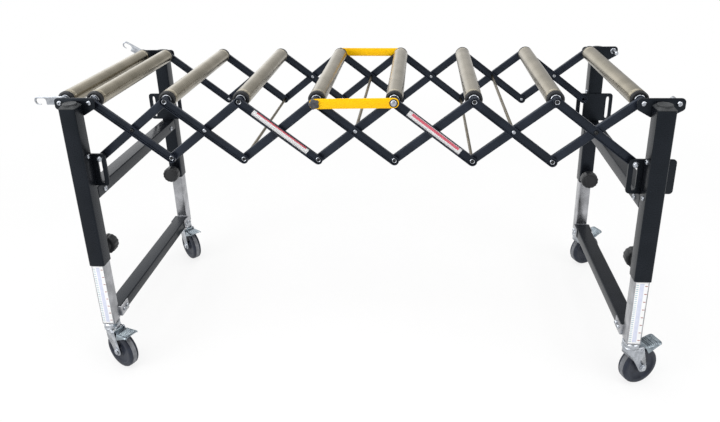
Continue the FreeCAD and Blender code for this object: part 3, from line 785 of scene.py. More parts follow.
class TiePlace(Enum):
    """Where along a falling arm a tie rod crosses to the other rail."""

    MIDDLE = "middle"
    BOTTOM = "bottom"


TIE_RODS = {1: TiePlace.BOTTOM, 3: TiePlace.MIDDLE, 4: TiePlace.BOTTOM, 5: TiePlace.MIDDLE}
LABELLED = (2, 4)
LINK_JOINTS = ("front_link_swing", "front_link_knob_turn")


@dataclass
class ScissorCell:
    """One cell of the linkage: a falling and a rising pair of arms with their rods, pins and heads."""

    number: int
    width: float = 20.0
    wall: float = 1.6
    axle_radius: float = 5.0
    pin_radius: float = 4.0
    tie_radius: float = 3.6
    axle_head: float = 6.6
    middle_head: float = 5.0
    bottom_head: float = 6.4
    head_height: float = 3.4
    slot_head: float = 6.0
    slot_washer: float = 6.8
    washer_thick: float = 1.2
    plate_gap: float = 0.4
    pin_stand: float = 1.0

    def __post_init__(self) -> None:
        """Finds where the cell's pivots are at rest, in metres, and what it carries."""
        self.last: bool = self.number == CELLS - 1
        self.top: np.ndarray = joint_at("fold" if self.number == 0 else f"top_pivot_{self.number}")
        self.next_top: np.ndarray = joint_at("right_end_pivot" if self.last else f"top_pivot_{self.number + 1}")
        self.middle: np.ndarray = joint_at(f"mid_pivot_{self.number}")
        self.bottom: np.ndarray = 2 * self.middle - self.top
        self.linked: bool = any(abs(self.top[0] - joint_at(name)[0]) < MM for name in LINK_JOINTS)
        self.tie: Union[TiePlace, None] = TIE_RODS.get(self.number)

    @property
    def outer_web(self) -> float:
        """How deep the floor of an outer arm's recess lies."""
        return DEPTHS.outer_near + DEPTHS.arm_thick - self.wall

    @property
    def inner_web(self) -> float:
        """How deep the floor of an inner arm's recess lies."""
        return DEPTHS.inner_near + self.wall

    def build(self) -> None:
        """Makes the arms of both pairs and what turns in them."""
        falling, rising = f"fall_{self.number}", f"rise_{self.number}"
        near, far = DEPTHS.outer_near, DEPTHS.inner_near
        self.make_arms(falling, self.top, {Rail.FRONT: near, Rail.BACK: far}, -1)
        self.make_arms(rising, self.next_top, {Rail.FRONT: far, Rail.BACK: near}, 1)
        add_piece(f"{falling}.pins", self.falling_pins(), ZINC, falling)
        add_piece(f"{falling}.rivets", self.heads(eyelet), ZINC, falling)
        # Dark discs of painted shade at the bottom of each rivet eye, with the black-coated middle heads of the end
        # cells.
        add_piece(f"{falling}.eyes", self.heads(eye) + self.plain_heads(), BLACK_NYLON, falling)
        if self.tie:
            pivot = self.middle if self.tie is TiePlace.MIDDLE else self.bottom
            add_piece(f"{falling}.tie_rod", [self.rod(pivot, self.tie_radius, self.outer_web)], ROD_STEEL, falling)
        if self.number == 0:
            add_piece(f"{rising}.pins", self.slot_pins(2 * self.middle - self.next_top), ZINC, rising)

    def make_arms(self, node: str, pivot: np.ndarray, layers: Mapping[Rail, float], opening: int) -> None:
        """Makes the front and the back arm of one pair, pressed pans that open to the same side.

        Args:
            node: the node and body of the pair.
            pivot: the arms' upper pivot.
            layers: how deep each arm's outer face lies in its rail.
            opening: the sign along Y of the side that they open to.
        """
        along = self.middle - pivot
        outline = stadium(2 * np.linalg.norm(along) / MM, self.width / 2)
        arms = []
        for rail, depth in layers.items():
            faces = [DEPTHS.y(rail, depth), DEPTHS.y(rail, depth + DEPTHS.arm_thick)]
            web = max(faces) if opening < 0 else min(faces)
            place = turned_about_y(np.array([pivot[0], web, pivot[2]]), along, opening)
            arms.append(pan(outline, DEPTHS.arm_thick, self.wall).at(place))
        add_piece(f"{node}.arms", arms, ARM_COAT, node, [node])

    def seat(self, pivot: np.ndarray, rail: Rail, depth: float, outwards: bool = True) -> Place:
        """The place of a head on an axis at a depth of one rail, facing out of the rail or into it."""
        foot = np.array([pivot[0], DEPTHS.y(rail, depth), pivot[2]])
        return turned_about_y(foot, ALONG, rail.value if outwards else -rail.value)

    def heads(self, form: Callable[[float, float], Shape]) -> list[Shape]:
        """Makes one form at every rolled head of the falling pair.

        Args:
            form: makes a head, or the dark disc of painted shade in its eye, from a radius and a height.

        Returns:
            The forms at their seats.
        """
        spots = [] if self.linked or self.number == 0 else [(self.top, self.axle_head)]
        spots += [] if self.last else [(self.bottom, self.bottom_head)]
        return [form(radius, self.head_height).at(self.seat(pivot, rail, self.outer_web))
                for pivot, radius in spots for rail in Rail]

    def plain_heads(self) -> list[Shape]:
        """The painted heads of the middle pins in the end cells.

        Returns:
            One head on each rail, or none in the other cells.
        """
        if self.number > 0 and not self.last:
            return []
        form = button_head(self.middle_head, self.head_height)
        return [form.at(self.seat(self.middle, rail, self.outer_web)) for rail in Rail]

    def rod(self, pivot: np.ndarray, radius: float, depth: float) -> Shape:
        """A rod across both rails that ends at one depth in each."""
        half = DEPTHS.leg_face - depth
        return capped_rod(radius, -half, half).at(turned_about_y(np.array([pivot[0], 0, pivot[2]]), ALONG))

    def rivet(self, pivot: np.ndarray, rail: Rail) -> list[Shape]:
        """A pin through both webs of one rail, with a head inside.

        Args:
            pivot: a point of its axis.
            rail: the rail that it holds together.

        Returns:
            Its shank and its inner head.
        """
        shank = lathe([(-self.inner_web, self.pin_radius), (-self.outer_web, self.pin_radius)], steps=20)
        inner = button_head(self.middle_head, self.head_height)
        return [shank.at(self.seat(pivot, rail, 0)), inner.at(self.seat(pivot, rail, self.inner_web, outwards=False))]

    def falling_pins(self) -> list[Shape]:
        """The axle, pins and middle heads that the falling pair carries.

        Returns:
            Their shapes.
        """
        shapes = []
        if self.number > 0:
            shapes.append(self.rod(self.top, self.axle_radius, DEPTHS.link_near if self.linked else self.outer_web))
        for rail in Rail:
            if 0 < self.number and not self.last and (self.number not in LABELLED or rail is Rail.BACK):
                head = button_head(self.middle_head, self.head_height)
                shapes.append(head.at(self.seat(self.middle, rail, self.outer_web)))
            if self.tie is not TiePlace.MIDDLE:
                shapes += self.rivet(self.middle, rail)
            if not self.last and self.tie is not TiePlace.BOTTOM:
                shapes += self.rivet(self.bottom, rail)
        return shapes + (self.slot_pins(self.bottom) if self.last else [])

    def slot_pins(self, pivot: np.ndarray) -> list[Shape]:
        """The pins at a lower end of the linkage, with washer and head outside the slotted plates.

        Args:
            pivot: a point of their axis.

        Returns:
            Pin, washer and head of each rail.
        """
        shapes = []
        for rail in Rail:
            pin = capped_rod(self.pin_radius, -self.inner_web, self.pin_stand)
            ring, head = washer(self.slot_washer, self.washer_thick), button_head(self.slot_head, self.head_height)
            shapes.append(pin.at(self.seat(pivot, rail, 0)))
            shapes.append(ring.at(self.seat(pivot, rail, -self.plate_gap)))
            shapes.append(head.at(self.seat(pivot, rail, -self.plate_gap - self.washer_thick)))
        return shapes


@dataclass
class LegPair:
    """One end's two legs and a crossbar between them, which both frames of that end have."""

    end: End
    bar_corner: float = 3.0
    bar_wall: float = 2.5

    @property
    def name(self) -> str:
        """What the names of the end's nodes start with."""
        return self.end.label

    @property
    def x(self) -> float:
        """Where the legs stand along the conveyor, in metres."""
        return joint_at(f"{self.name}_front_swivel")[0]

    @property
    def leg_y(self) -> float:
        """How far the legs' axes are from the middle of the conveyor, in metres."""
        return abs(joint_at(f"{self.name}_front_swivel")[1])

    def leg_place(self, rail: Rail) -> Place:
        """The upright place on the axis of one leg, on the floor."""
        return upright(np.array([self.x, rail.value * self.leg_y, 0.0]))

    def make_crossbar(self, node: str, body: str) -> None:
        """Makes a crossbar's square tube where its node stands.

        Args:
            node: the crossbar's node.
            body: the body that it moves with.
        """
        low, high = (np.array(corner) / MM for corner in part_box(node))
        outline = square(high[0] - low[0], high[2] - low[2], self.bar_corner)
        place = turned_about_y(np.array([self.x, 0, (low[2] + high[2]) / 2 * MM]), ALONG)
        bar = tube(outline, self.bar_wall, low[1], high[1]).at(place)
        add_piece(f"{node}.tube", [bar], BLACK_COAT, body, [node])


def along_rays(outline: np.ndarray, centre: np.ndarray, turn: np.ndarray) -> np.ndarray:
    """Finds where rays from a centre meet an outline: at (first x edge) / (way x edge) along the ray, for its edge.

    Args:
        outline: a closed outline round the centre, of shape (columns, 2).
        centre: where the rays start.
        turn: their angles.

    Returns:
        Points of shape (rays, 2).
    """
    arm = outline - centre
    angle = np.arctan2(arm[:, 1], arm[:, 0])
    order = np.argsort(angle)
    closed = np.concatenate([order[-1:], order, order[:1]])
    angles = angle[closed] + np.concatenate([[-2 * math.pi], np.zeros(len(order)), [2 * math.pi]])
    ray = np.mod(turn + math.pi, 2 * math.pi) - math.pi
    after = np.clip(np.searchsorted(angles, ray), 1, len(angles) - 1)
    first, last = arm[closed[after - 1]], arm[closed[after]]
    way, edge = directions(ray), last - first
    above = first[:, 0] * edge[:, 1] - first[:, 1] * edge[:, 0]
    below = way[:, 0] * edge[:, 1] - way[:, 1] * edge[:, 0]
    return centre + (above / below)[:, None] * way


@dataclass
class EndFrame(LegPair):
    """An end frame: outer legs with caps, top brackets, slotted plates, upper crossbar, axles and bolts.

    The front guide plates have plain, narrower wings on the outer side. A trim is how much narrower than the solid
    a plate is there. The places of the side bolts are a depth in the rail and a rise.
    """

    leg_width: float = DEPTHS.leg_width
    leg_corner: float = 4.0
    leg_wall: float = 2.0
    cap_lip: float = 1.5
    cap_chamfer: float = 5.0
    disc_radius: float = 16.0
    disc_rise: float = 3.5
    reach: float = 35.0
    bracket_half: float = 48.0
    bracket_rise: float = 11.5
    bracket_drop: float = 13.0
    bracket_foot: float = 30.0
    bracket_corners: tuple[float, ...] = (6.0, 6.0, 8.0, 9.0, 9.0, 8.0)
    plate: float = 4.0
    plate_corners: tuple[float, ...] = (0.1, 8.0, 8.0, 0.1)
    slot_half: float = 4.4
    slot_foot: float = 12.0
    slot_sides: int = 72
    right_trim: float = 1.5
    front_trim: float = 8.0
    back_trim: float = 0.5
    bolt_radius: float = 5.8
    bolt_height: float = 4.4
    axle_radius: float = 5.0
    axle_nut: tuple[float, float] = (8.0, 6.0)
    pin_length: float = 40.0
    pin_bevel: float = 1.4
    pin_nut: tuple[float, float] = (8.4, 5.0)
    side_bolt: float = 5.6
    bar_bolt: float = 6.8
    side_bolt_height: float = 3.4
    plate_bolt_place: tuple[float, float] = (-16.0, 13.0)
    bar_bolt_place: tuple[float, float] = (31.0, -3.0)
    leg_bolt_place: tuple[float, float] = (-22.0, 19.0)

    @property
    def body(self) -> str:
        """The body that the frame's pieces move with."""
        return f"{self.name}_frame"

    @property
    def axle_z(self) -> float:
        """The height of the roller axles at rest, in metres."""
        return joint_at("fold")[2]

    @property
    def slot_pin_z(self) -> float:
        """The height of the lower pivots at rest, in metres."""
        return 2 * joint_at("mid_pivot_0")[2] - self.axle_z

    def build(self) -> None:
        """Makes every piece of the frame."""
        self.make_legs()
        self.make_brackets()
        self.make_slot_plates()
        self.make_crossbar(f"{self.name}_upper_crossbar", self.body)
        self.make_bolts()

    def plate_place(self, rail: Rail) -> Place:
        """A place in the outer face of a rail's plates, with X along and Z up, that faces the conveyor's middle."""
        origin = np.array([self.x, DEPTHS.y(rail, 0), 0.0])
        return Place(origin, ALONG, UP, np.array([0.0, -rail.value, 0.0]))

    def make_legs(self) -> None:
        """Makes the square tubes and their caps."""
        low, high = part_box(f"{self.name}_legs")
        top = high[2] / MM - self.cap_lip - self.cap_chamfer - self.disc_rise
        outline = square(self.leg_width, self.leg_width, self.leg_corner)
        legs = [tube(outline, self.leg_wall, low[2] / MM, top).at(self.leg_place(rail)) for rail in Rail]
        add_piece(f"{self.name}_legs.tubes", legs, BLACK_COAT, self.body, [f"{self.name}_legs"])
        caps = [shape.at(self.leg_place(rail)) for rail in Rail for shape in (self.cap(top), self.cap_disc(top))]
        add_piece(f"{self.name}_legs.caps", caps, GREY_PLASTIC, self.body)

    def cap(self, foot: float) -> Shape:
        """The lip of a leg cap with its four chamfers: squares of points stacked up, the upper ones smaller.

        Args:
            foot: the height of its lower face.

        Returns:
            The lip about the leg's axis.
        """
        easing, upper_corner = 0.3, 1.0
        lip = square(self.leg_width, self.leg_width, self.leg_corner)
        width = self.leg_width - 2 * self.cap_chamfer
        upper = square(width, width, upper_corner)
        level = foot + self.cap_lip
        heights = np.array([foot, foot + easing, level, level + self.cap_chamfer - easing, level + self.cap_chamfer])
        return skin(raised(np.stack([0.98 * lip, lip, lip, upper, 0.96 * upper]), heights) * MM)

    def cap_disc(self, foot: float) -> Shape:
        """The raised round of a leg cap: a turned profile, dished a little inside its rim.

        Args:
            foot: the height of the cap's lower face.

        Returns:
            The round about the leg's axis.
        """
        top = foot + self.cap_lip + self.cap_chamfer + self.disc_rise
        size = self.disc_radius
        return lathe([
            (top - 6.0, size), (top - 1.0, size - 0.2), (top - 0.3, size - 0.9), (top, size - 2.0),
            (top - 0.2, size - 3.0), (top - 0.9, size - 4.2), (top - 1.0, 0.5),
        ], steps=40)

    def make_brackets(self) -> None:
        """Makes the flared plates that hold the end axles."""
        half, foot = self.bracket_half, self.leg_width / 2
        level = self.axle_z / MM
        outline = rounded([
            (-foot, level - self.bracket_foot), (foot, level - self.bracket_foot), (half, level - self.bracket_drop),
            (half, level + self.bracket_rise), (-half, level + self.bracket_rise), (-half, level - self.bracket_drop),
        ], self.bracket_corners)
        plates = [slab(outline, self.plate).at(self.plate_place(rail)) for rail in Rail]
        add_piece(f"{self.name}_brackets.plates", plates, BLACK_COAT, self.body, [f"{self.name}_top_brackets"])

    def trim(self, rail: Rail) -> float:
        """How much narrower than the solid a rail's guide plate is on its outer side.

        Args:
            rail: the plate's rail.

        Returns:
            The difference.
        """
        if self.end is End.RIGHT:
            return self.right_trim
        return self.front_trim if rail is Rail.FRONT else self.back_trim

    def make_slot_plates(self) -> None:
        """Makes the guide plates, each of two halves that meet under the leg, slotted or plain."""
        low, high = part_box(f"{self.name}_slot_plates")
        foot, top = low[2] / MM, high[2] / MM
        half = (high[0] - low[0]) / 2 / MM
        plates = []
        for rail in Rail:
            for side in (-1, 1):
                outwards = side == self.end.value
                edge = side * (half - (self.trim(rail) if outwards else 0.0))
                corners = [(0, foot), (edge, foot), (edge, top), (0, top)]
                if outwards and rail is Rail.FRONT:
                    wing = slab(rounded(corners[::side], self.plate_corners), self.plate)
                else:
                    wing = self.slotted(corners, foot, side)
                plates.append(wing.at(self.plate_place(rail)))
        add_piece(f"{self.name}_slot_plates.plates", plates, BLACK_COAT, self.body, [f"{self.name}_slot_plates"])

    def slotted(self, corners: Points, foot: float, side: int) -> Shape:
        """Half a guide plate round one slot: rings of points shrink from the outer outline to the slot.

        Args:
            corners: the sharp corners of the half plate.
            foot: the height of its lower edge.
            side: which half it is.

        Returns:
            The half plate with its slot.
        """
        slot_top = self.slot_pin_z / MM
        slot = stadium(slot_top - foot - self.slot_foot, self.slot_half)
        hole = np.stack([side * self.reach + slot[:, 1], slot_top - slot[:, 0]], axis=-1)
        centre = hole.mean(axis=0)
        turn = np.linspace(0, 2 * math.pi, self.slot_sides, endpoint=False)
        edge = along_rays(rounded(corners, self.plate_corners), centre, turn)
        inside = along_rays(hole, centre, turn)
        rows = raised(np.stack([edge, edge, inside, inside]), np.array([0.0, self.plate, self.plate, 0.0]))
        return skin(rows * MM, looped=True)

    def make_bolts(self) -> None:
        """Makes the bolts at the brackets, plates and crossbar, and at the right the axle between the brackets."""
        bolts = []
        for rail in Rail:
            bolts += self.side_bolts(rail)
            for side in (-1, 1):
                if self.end is End.RIGHT and side == 1:
                    bolts += self.coupling_pin(rail)
                    continue
                origin = np.array([self.x + side * self.reach * MM, DEPTHS.y(rail, 0), self.axle_z])
                place = turned_about_y(origin, ALONG, rail.value)
                bolts.append(button_head(self.bolt_radius, self.bolt_height).at(place))
                if side == self.end.value:
                    bolts.append(hex_nut(*self.axle_nut).at(self.behind_plate(origin, rail)))
        if self.end is End.LEFT:
            dress_node("left_axles", ZINC)
            add_piece("left_bolts.zinc", bolts, ZINC, self.body)
            return
        half = DEPTHS.leg_face - self.plate
        origin = np.array([self.x - self.reach * MM, 0, self.axle_z])
        bolts.append(capped_rod(self.axle_radius, -half, half).at(turned_about_y(origin, ALONG)))
        add_piece("right_bolts.zinc", bolts, ZINC, self.body, ["right_axles"])

    def behind_plate(self, origin: np.ndarray, rail: Rail) -> Place:
        """The place on the inner face of a plate that faces inwards, across from a point of its outer face."""
        return turned_about_y(origin - np.array([0, rail.value * self.plate * MM, 0]), ALONG, -rail.value)

    def side_bolts(self, rail: Rail) -> list[Shape]:
        """Bolts on the sides that face the conveyor's middle: one by the guide plate and others at the crossbar.

        Args:
            rail: the rail that they are on.

        Returns:
            Their heads.
        """
        low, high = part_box(f"{self.name}_upper_crossbar")
        level, leg_face = (low[2] + high[2]) / 2, self.x - self.end.value * self.leg_width / 2 * MM
        bar_face = self.x - self.end.value * (high[0] - low[0]) / 2
        spots = [
            (leg_face, self.slot_pin_z, self.plate_bolt_place, self.side_bolt),
            (bar_face, level, self.bar_bolt_place, self.bar_bolt),
        ]
        if self.end is End.RIGHT:
            spots.append((leg_face, level, self.leg_bolt_place, self.side_bolt))
        heads = []
        for x, base, (depth, rise), size in spots:
            foot = np.array([x, DEPTHS.y(rail, depth), base + rise * MM])
            heads.append(button_head(size, self.side_bolt_height).at(facing_along(foot, -self.end.value)))
        return heads

    def coupling_pin(self, rail: Rail) -> list[Shape]:
        """A pin that a next unit hooks onto: shank and nut inside the plate, a head outside.

        Args:
            rail: the rail that it is on.

        Returns:
            Shank, head and nut.
        """
        origin = np.array([self.x + self.reach * MM, DEPTHS.y(rail, 0), self.axle_z])
        outwards = turned_about_y(origin, ALONG, rail.value)
        size, inner = self.axle_radius, -self.pin_length
        shank = lathe([(inner, size - self.pin_bevel), (inner + self.pin_bevel, size), (0.5, size)], steps=28)
        return [
            shank.at(outwards),
            button_head(self.bolt_radius, self.bolt_height).at(outwards),
            hex_nut(*self.pin_nut).at(self.behind_plate(origin, rail)),
        ]


@dataclass
class LowerFrame(LegPair):
    """A telescopic lower frame: bright inner legs with folded brackets, the lower crossbar and height scales."""

    leg: float = 33.0
    leg_corner: float = 3.0
    leg_wall: float = 2.0
    leg_drop: float = 2.0
    plug_gap: float = 0.4
    plug_corner: float = 2.0
    plug_length: float = 11.0
    stem_foot: float = 100.2
    stem_step: float = 104.2
    stem_collar: float = 9.0
    stem_radius: float = 6.0
    bracket_length: float = 38.0
    bracket_wall: float = 2.5
    bracket_clearance: float = 0.3
    bracket_corners: tuple[float, ...] = (2.6, 2.6, 1.0, 1.0, 0.5, 0.5, 1.0, 1.0)
    bracket_bolt: tuple[float, float] = (5.4, 4.6)
    bolt_shares: tuple[float, float] = (0.34, 0.76)
    scale_width: float = 26.4
    scale_length: float = 164.0
    scale_rise: float = 4.0
    scale_margin: float = 3.0
    band_half: float = 4.6
    tick_margin: float = 0.8
    fine_pitch: float = 5.2
    fine_start: float = 5.0
    fine_end: float = 6.4
    fine_thick: float = 1.5
    long_pitch: float = 20.8
    long_start: float = 8.0
    long_end: float = 6.2
    long_thick: float = 2.0

    def __post_init__(self) -> None:
        """Finds where the crossbar and the ends of the legs are."""
        self.bar_low, self.bar_high = (np.array(corner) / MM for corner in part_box(f"{self.name}_lower_crossbar"))
        self.level: float = (self.bar_low[2] + self.bar_high[2]) / 2
        self.foot: float = self.bar_low[2] - self.leg_drop
        self.leg_top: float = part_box(f"{self.name}_inner_legs")[1][2] / MM

    @property
    def body(self) -> str:
        """The body that the frame's pieces move with."""
        return f"{self.name}_lower_frame"

    @property
    def bracket_half(self) -> float:
        """Half the outer width of a bracket."""
        return (self.bar_high[0] - self.bar_low[0]) / 2 + self.bracket_clearance + self.bracket_wall

    @property
    def bracket_back(self) -> float:
        """How far the backs of the brackets are from the middle."""
        return self.leg_y / MM - self.leg / 2

    def build(self) -> None:
        """Makes every piece of the lower frame."""
        self.make_legs()
        self.make_crossbar(f"{self.name}_lower_crossbar", self.body)
        self.make_scale()

    def make_legs(self) -> None:
        """Makes the inner legs, their foot plugs and stems, the brackets and the brackets' bolts."""
        shapes, bolts = [], []
        bore = self.leg - 2 * self.leg_wall - self.plug_gap
        leg = tube(square(self.leg, self.leg, self.leg_corner), self.leg_wall, self.foot, self.leg_top)
        plug = slab(square(bore, bore, self.plug_corner), self.plug_length, edge=0.6, foot=self.foot + 0.3)
        stem = lathe([
            (self.stem_foot, self.stem_collar), (self.stem_step, self.stem_collar), (self.stem_step, self.stem_radius),
            (self.foot + 4, self.stem_radius),
        ], steps=24)
        for rail in Rail:
            shapes += [shape.at(self.leg_place(rail)) for shape in (leg, plug, stem)]
            shapes.append(self.bracket(rail))
            bolts += self.bracket_bolts(rail)
        add_piece(f"{self.name}_inner_legs.zinc", shapes, LEG_ZINC, self.body, [f"{self.name}_inner_legs"])
        add_piece(f"{self.name}_inner_legs.bolts", bolts, ZINC, self.body)

    def bracket(self, rail: Rail) -> Shape:
        """The folded bracket round a crossbar's end: a U-shaped outline of a back and two cheeks, carried up the bar.

        Args:
            rail: the rail that its leg is on.

        Returns:
            The bracket.
        """
        outer, wall, length = self.bracket_half, self.bracket_wall, self.bracket_length
        inner = outer - wall
        outline = rounded([
            (-outer, 0), (outer, 0), (outer, length), (inner, length), (inner, wall), (-inner, wall),
            (-inner, length), (-outer, length),
        ], self.bracket_corners, steps=4)
        height = self.bar_high[2] - self.bar_low[2]
        origin = np.array([self.x, rail.value * self.bracket_back * MM, (self.level - height / 2) * MM])
        place = Place(origin, ALONG, np.array([0.0, -rail.value, 0.0]), UP)
        return slab(outline, height, edge=0.4).at(place)

    def bracket_bolts(self, rail: Rail) -> list[Shape]:
        """Two bolts in each cheek of a bracket.

        Args:
            rail: the rail that the bracket's leg is on.

        Returns:
            Their heads.
        """
        bolts = []
        for side in (-1, 1):
            for share in self.bolt_shares:
                y = rail.value * (self.bracket_back - share * self.bracket_length)
                foot = np.array([self.x + side * self.bracket_half * MM, y * MM, self.level * MM])
                bolts.append(button_head(*self.bracket_bolt).at(facing_along(foot, side)))
        return bolts

    def make_scale(self) -> None:
        """Makes the printed height scale on the front inner leg: film, a pale band and two rows of ticks."""
        front = -(self.leg_y / MM + self.leg / 2)
        place = Place(np.array([self.x, front * MM, 0.0]), ALONG, UP, np.array([0.0, -1.0, 0.0]))
        low, half = self.foot + self.scale_rise, self.scale_width / 2
        high = low + self.scale_length
        strip = film(patch(-half, half, low, high))
        add_piece(f"{self.name}_scale.film", [strip.at(place)], WHITE_VINYL, self.body)
        edge, end = half - self.tick_margin, high - self.scale_margin
        prints = {
            "band": (PALE_INK, [patch(-self.band_half, self.band_half, low + self.scale_margin, end)]),
            "fine": (TICK_INK, [patch(-edge, -half + self.fine_end, level, level + self.fine_thick)
                                for level in np.arange(low + self.fine_start, end, self.fine_pitch)]),
            "ticks": (BROWN_INK, [patch(half - self.long_end, edge, level, level + self.long_thick)
                                  for level in np.arange(low + self.long_start, end, self.long_pitch)]),
        }
        for part, (ink, patches) in prints.items():
            printed = [print_on_film(outline).at(place) for outline in patches]
            add_piece(f"{self.name}_scale.{part}", printed, ink, self.body)


@dataclass
class HeightKnob:
    """A moulded clamping knob with shallow scallops round its rim, its collar and its screw."""

    end: End
    rail: Rail
    radius: float = 24.0
    sides: int = 96
    scallop: float = 1.1
    scallops: int = 14
    neck: float = 18.5
    thick: float = 26.0
    screw_radius: float = 4.0
    screw_start: float = -1.9
    screw_washer: tuple[float, float] = (8.5, 1.6)
    washer_gap: float = 0.4

    def build(self) -> None:
        """Makes the knob and its screw."""
        node = f"{self.end.label}_{self.rail.label}_height_knob"
        pivot = joint_at(f"{self.end.label}_{self.rail.label}_knob_turn")
        face = np.array([pivot[0], DEPTHS.y(self.rail, 0), pivot[2]])
        place = turned_about_y(face, ALONG, -self.rail.value)
        add_piece(f"{node}.grip", [self.grip().at(place)], BLACK_NYLON, node, [node])
        screw = capped_rod(self.screw_radius, self.screw_start, self.neck).at(place)
        ring = washer(*self.screw_washer).at(place.lifted(self.washer_gap))
        add_piece(f"{node}.screw", [screw, ring], ZINC, node)

    def grip(self) -> Shape:
        """The grip: r = R(h) - s f(h) (1 + cos 14 a) / 2, so the scallops fade out towards the ringed, domed face.

        Returns:
            The grip about the screw's axis, from rows of height, radius and share of the scallops.
        """
        size, foot, top = self.radius, self.neck, self.neck + self.thick
        profile = np.array([
            (2.2, 8.6, 0), (foot - 6, 9.0, 0), (foot - 2, 10.4, 0), (foot, 13.5, 0), (foot, size - 3.0, 0.7),
            (foot + 1.2, size - 0.8, 1), (foot + 3.0, size, 1), (top - 6, size, 1), (top - 3.4, size - 0.8, 1),
            (top - 1.6, size - 2.4, 0.6), (top - 0.9, size - 4.4, 0.1), (top - 1.0, size - 5.6, 0),
            (top - 1.9, size - 6.4, 0), (top - 1.9, size - 7.4, 0), (top - 1.0, size - 8.4, 0), (top - 0.3, 8.0, 0),
            (top, 0.5, 0),
        ])
        wave = 0.5 + 0.5 * np.cos(self.scallops * full_turn(self.sides))
        return turned(profile[:, 0], profile[:, 1:2] - self.scallop * profile[:, 2:3] * wave[None])


@dataclass
class Caster:
    """A swivel caster: pressed fork with bearing cup, wheel with tread band, axle and brake pedal.

    Heights are above the floor, and the cup is a profile of rise above the crown and radius.
    """

    end: End
    rail: Rail
    half: float = 17.5
    wall: float = 2.5
    crown: float = 107.0
    skirt: float = 91.0
    cheek_skirt: float = 75.0
    fillet: float = 4.0
    eye: float = 11.0
    eye_arc: tuple[float, float] = (0.15, -2.6)
    ear_half: float = 6.0
    side_columns: int = 26
    ear_columns: int = 8
    cup: tuple[tuple[float, float], ...] = (
        (-2.0, 20.0), (1.0, 20.0), (3.0, 18.6), (6.5, 18.2), (8.0, 19.6), (12.5, 19.6), (14.6, 17.5), (14.6, 7.0),
    )
    axle_radius: float = 6.0
    axle_washer: tuple[float, float] = (9.0, 1.4)
    axle_nut: float = 7.4
    nut_height: float = 5.6
    head_height: float = 4.6
    pin_head: tuple[float, float] = (4.0, 1.8)
    wheel_radius: float = 47.5
    wheel_half: float = 13.0
    wheel_sides: int = 64
    tread_share: float = 0.42
    barrel_radius: float = 3.0
    barrel_half: float = 14.0
    pedal_rise: float = 8.0
    pedal_length: float = 56.0
    pedal_neck: float = 14.0
    pedal_thick: float = 2.2
    pedal_level: float = -0.4
    neck_half: float = 13.8
    tread_half: float = 19.8
    rib_margin: float = 5.0
    rib_pitch: float = 5.3
    rib_height: float = 1.6
    rib_sink: float = 0.7
    skirt_least: float = 2.2
    skirt_more: float = 11.0
    skirt_stop: float = 8.0

    def __post_init__(self) -> None:
        """Finds where the caster stands, and its axle and its pedal's pivot along the fork."""
        self.name: str = f"{self.end.label}_{self.rail.label}"
        swivel = joint_at(f"{self.name}_swivel")
        reach = joint_at(f"{self.name}_roll") - swivel
        self.pivot: np.ndarray = joint_at(f"{self.name}_brake")
        self.place: Place = upright(np.array([swivel[0], swivel[1], 0.0]), math.atan2(reach[1], reach[0]))
        self.trail: float = math.hypot(reach[0], reach[1]) / MM
        self.pivot_along: float = math.hypot(*(self.pivot - swivel)[:2]) / MM
        self.crown_end: float = self.pivot_along - self.ear_half
        self.ear: float = self.pivot_along + self.ear_half

    def build(self) -> None:
        """Makes the fork, wheel, pedal and small parts of one caster."""
        fork = f"{self.name}_fork"
        pressing = add_piece(f"{fork}.pressing", [self.pressing().at(self.place)], ZINC, fork, [fork], crease=50.0)
        wall = pressing.modifiers.new("wall", "SOLIDIFY")
        wall.thickness = self.wall * MM
        wall.offset = -1.0
        add_piece(f"{fork}.fittings", self.fittings(), ZINC, fork)
        self.make_wheel()
        self.make_pedal()

    def across(self, along: float, height: float, facing: int) -> Place:
        """A place on the fork's centre plane whose third direction runs across it.

        Args:
            along: how far it is from the swivel's axis.
            height: its height above the floor.
            facing: the sign of its third direction.

        Returns:
            The place.
        """
        origin = self.place.of(np.array([along, 0.0, height]) * MM)
        w = self.place.v * facing
        return Place(origin, self.place.u, np.cross(w, self.place.u), w)

    def pressing(self) -> Shape:
        """The pressed fork: a ruled grid from the crown's middle over a fillet to the lower edge of skirt and cheeks.

        Each column starts at the crown's centre line, runs out to the plan of the fork (two sides and a half round
        nose), turns down over a quarter circle and ends on the lower edge, which follows the axle eye on the sides.

        Returns:
            The open sheet, which gets its thickness later.
        """
        steps = self.side_columns
        ears = np.linspace(self.ear, self.crown_end + 0.01, self.ear_columns)
        side = np.concatenate([ears, np.linspace(self.crown_end, 0, steps - len(ears))])
        turn = np.linspace(math.pi / 2, 3 * math.pi / 2, 19)[1:-1]
        way = np.concatenate([np.tile([0.0, 1.0], (steps, 1)), directions(turn), np.tile([0.0, -1.0], (steps, 1))])
        along = np.concatenate([side, np.zeros(len(turn)), side[::-1]])
        base = np.stack([along, np.zeros_like(along)], axis=-1)
        rim = base + self.half * way
        low = self.lower_edge(steps)
        ahead = -rim[steps:-steps, 0]
        nose = np.stack([-ahead, self.cheek_skirt + (self.skirt - self.cheek_skirt) * ahead / self.half], axis=-1)
        foot = np.concatenate([low, nose, low[::-1]])
        covered = (along <= self.crown_end)[:, None]
        inner = base + (self.half - self.fillet) * way
        middle = np.where(covered, base, inner)
        bend = np.linspace(0, math.pi / 2, 5)
        curve = [
            (base + (self.half - self.fillet * (1 - math.sin(a))) * way, self.crown - self.fillet * (1 - math.cos(a)))
            for a in bend
        ]
        rows = [np.column_stack([middle, np.full(len(rim), self.crown)])]
        rows += [np.column_stack([plan, np.full(len(rim), height)]) for plan, height in curve]
        rows.append(np.column_stack([foot[:, 0], rim[:, 1], foot[:, 1]]))
        return skin(np.stack(rows)[:, ::-1] * MM, closed=False, capped=False)

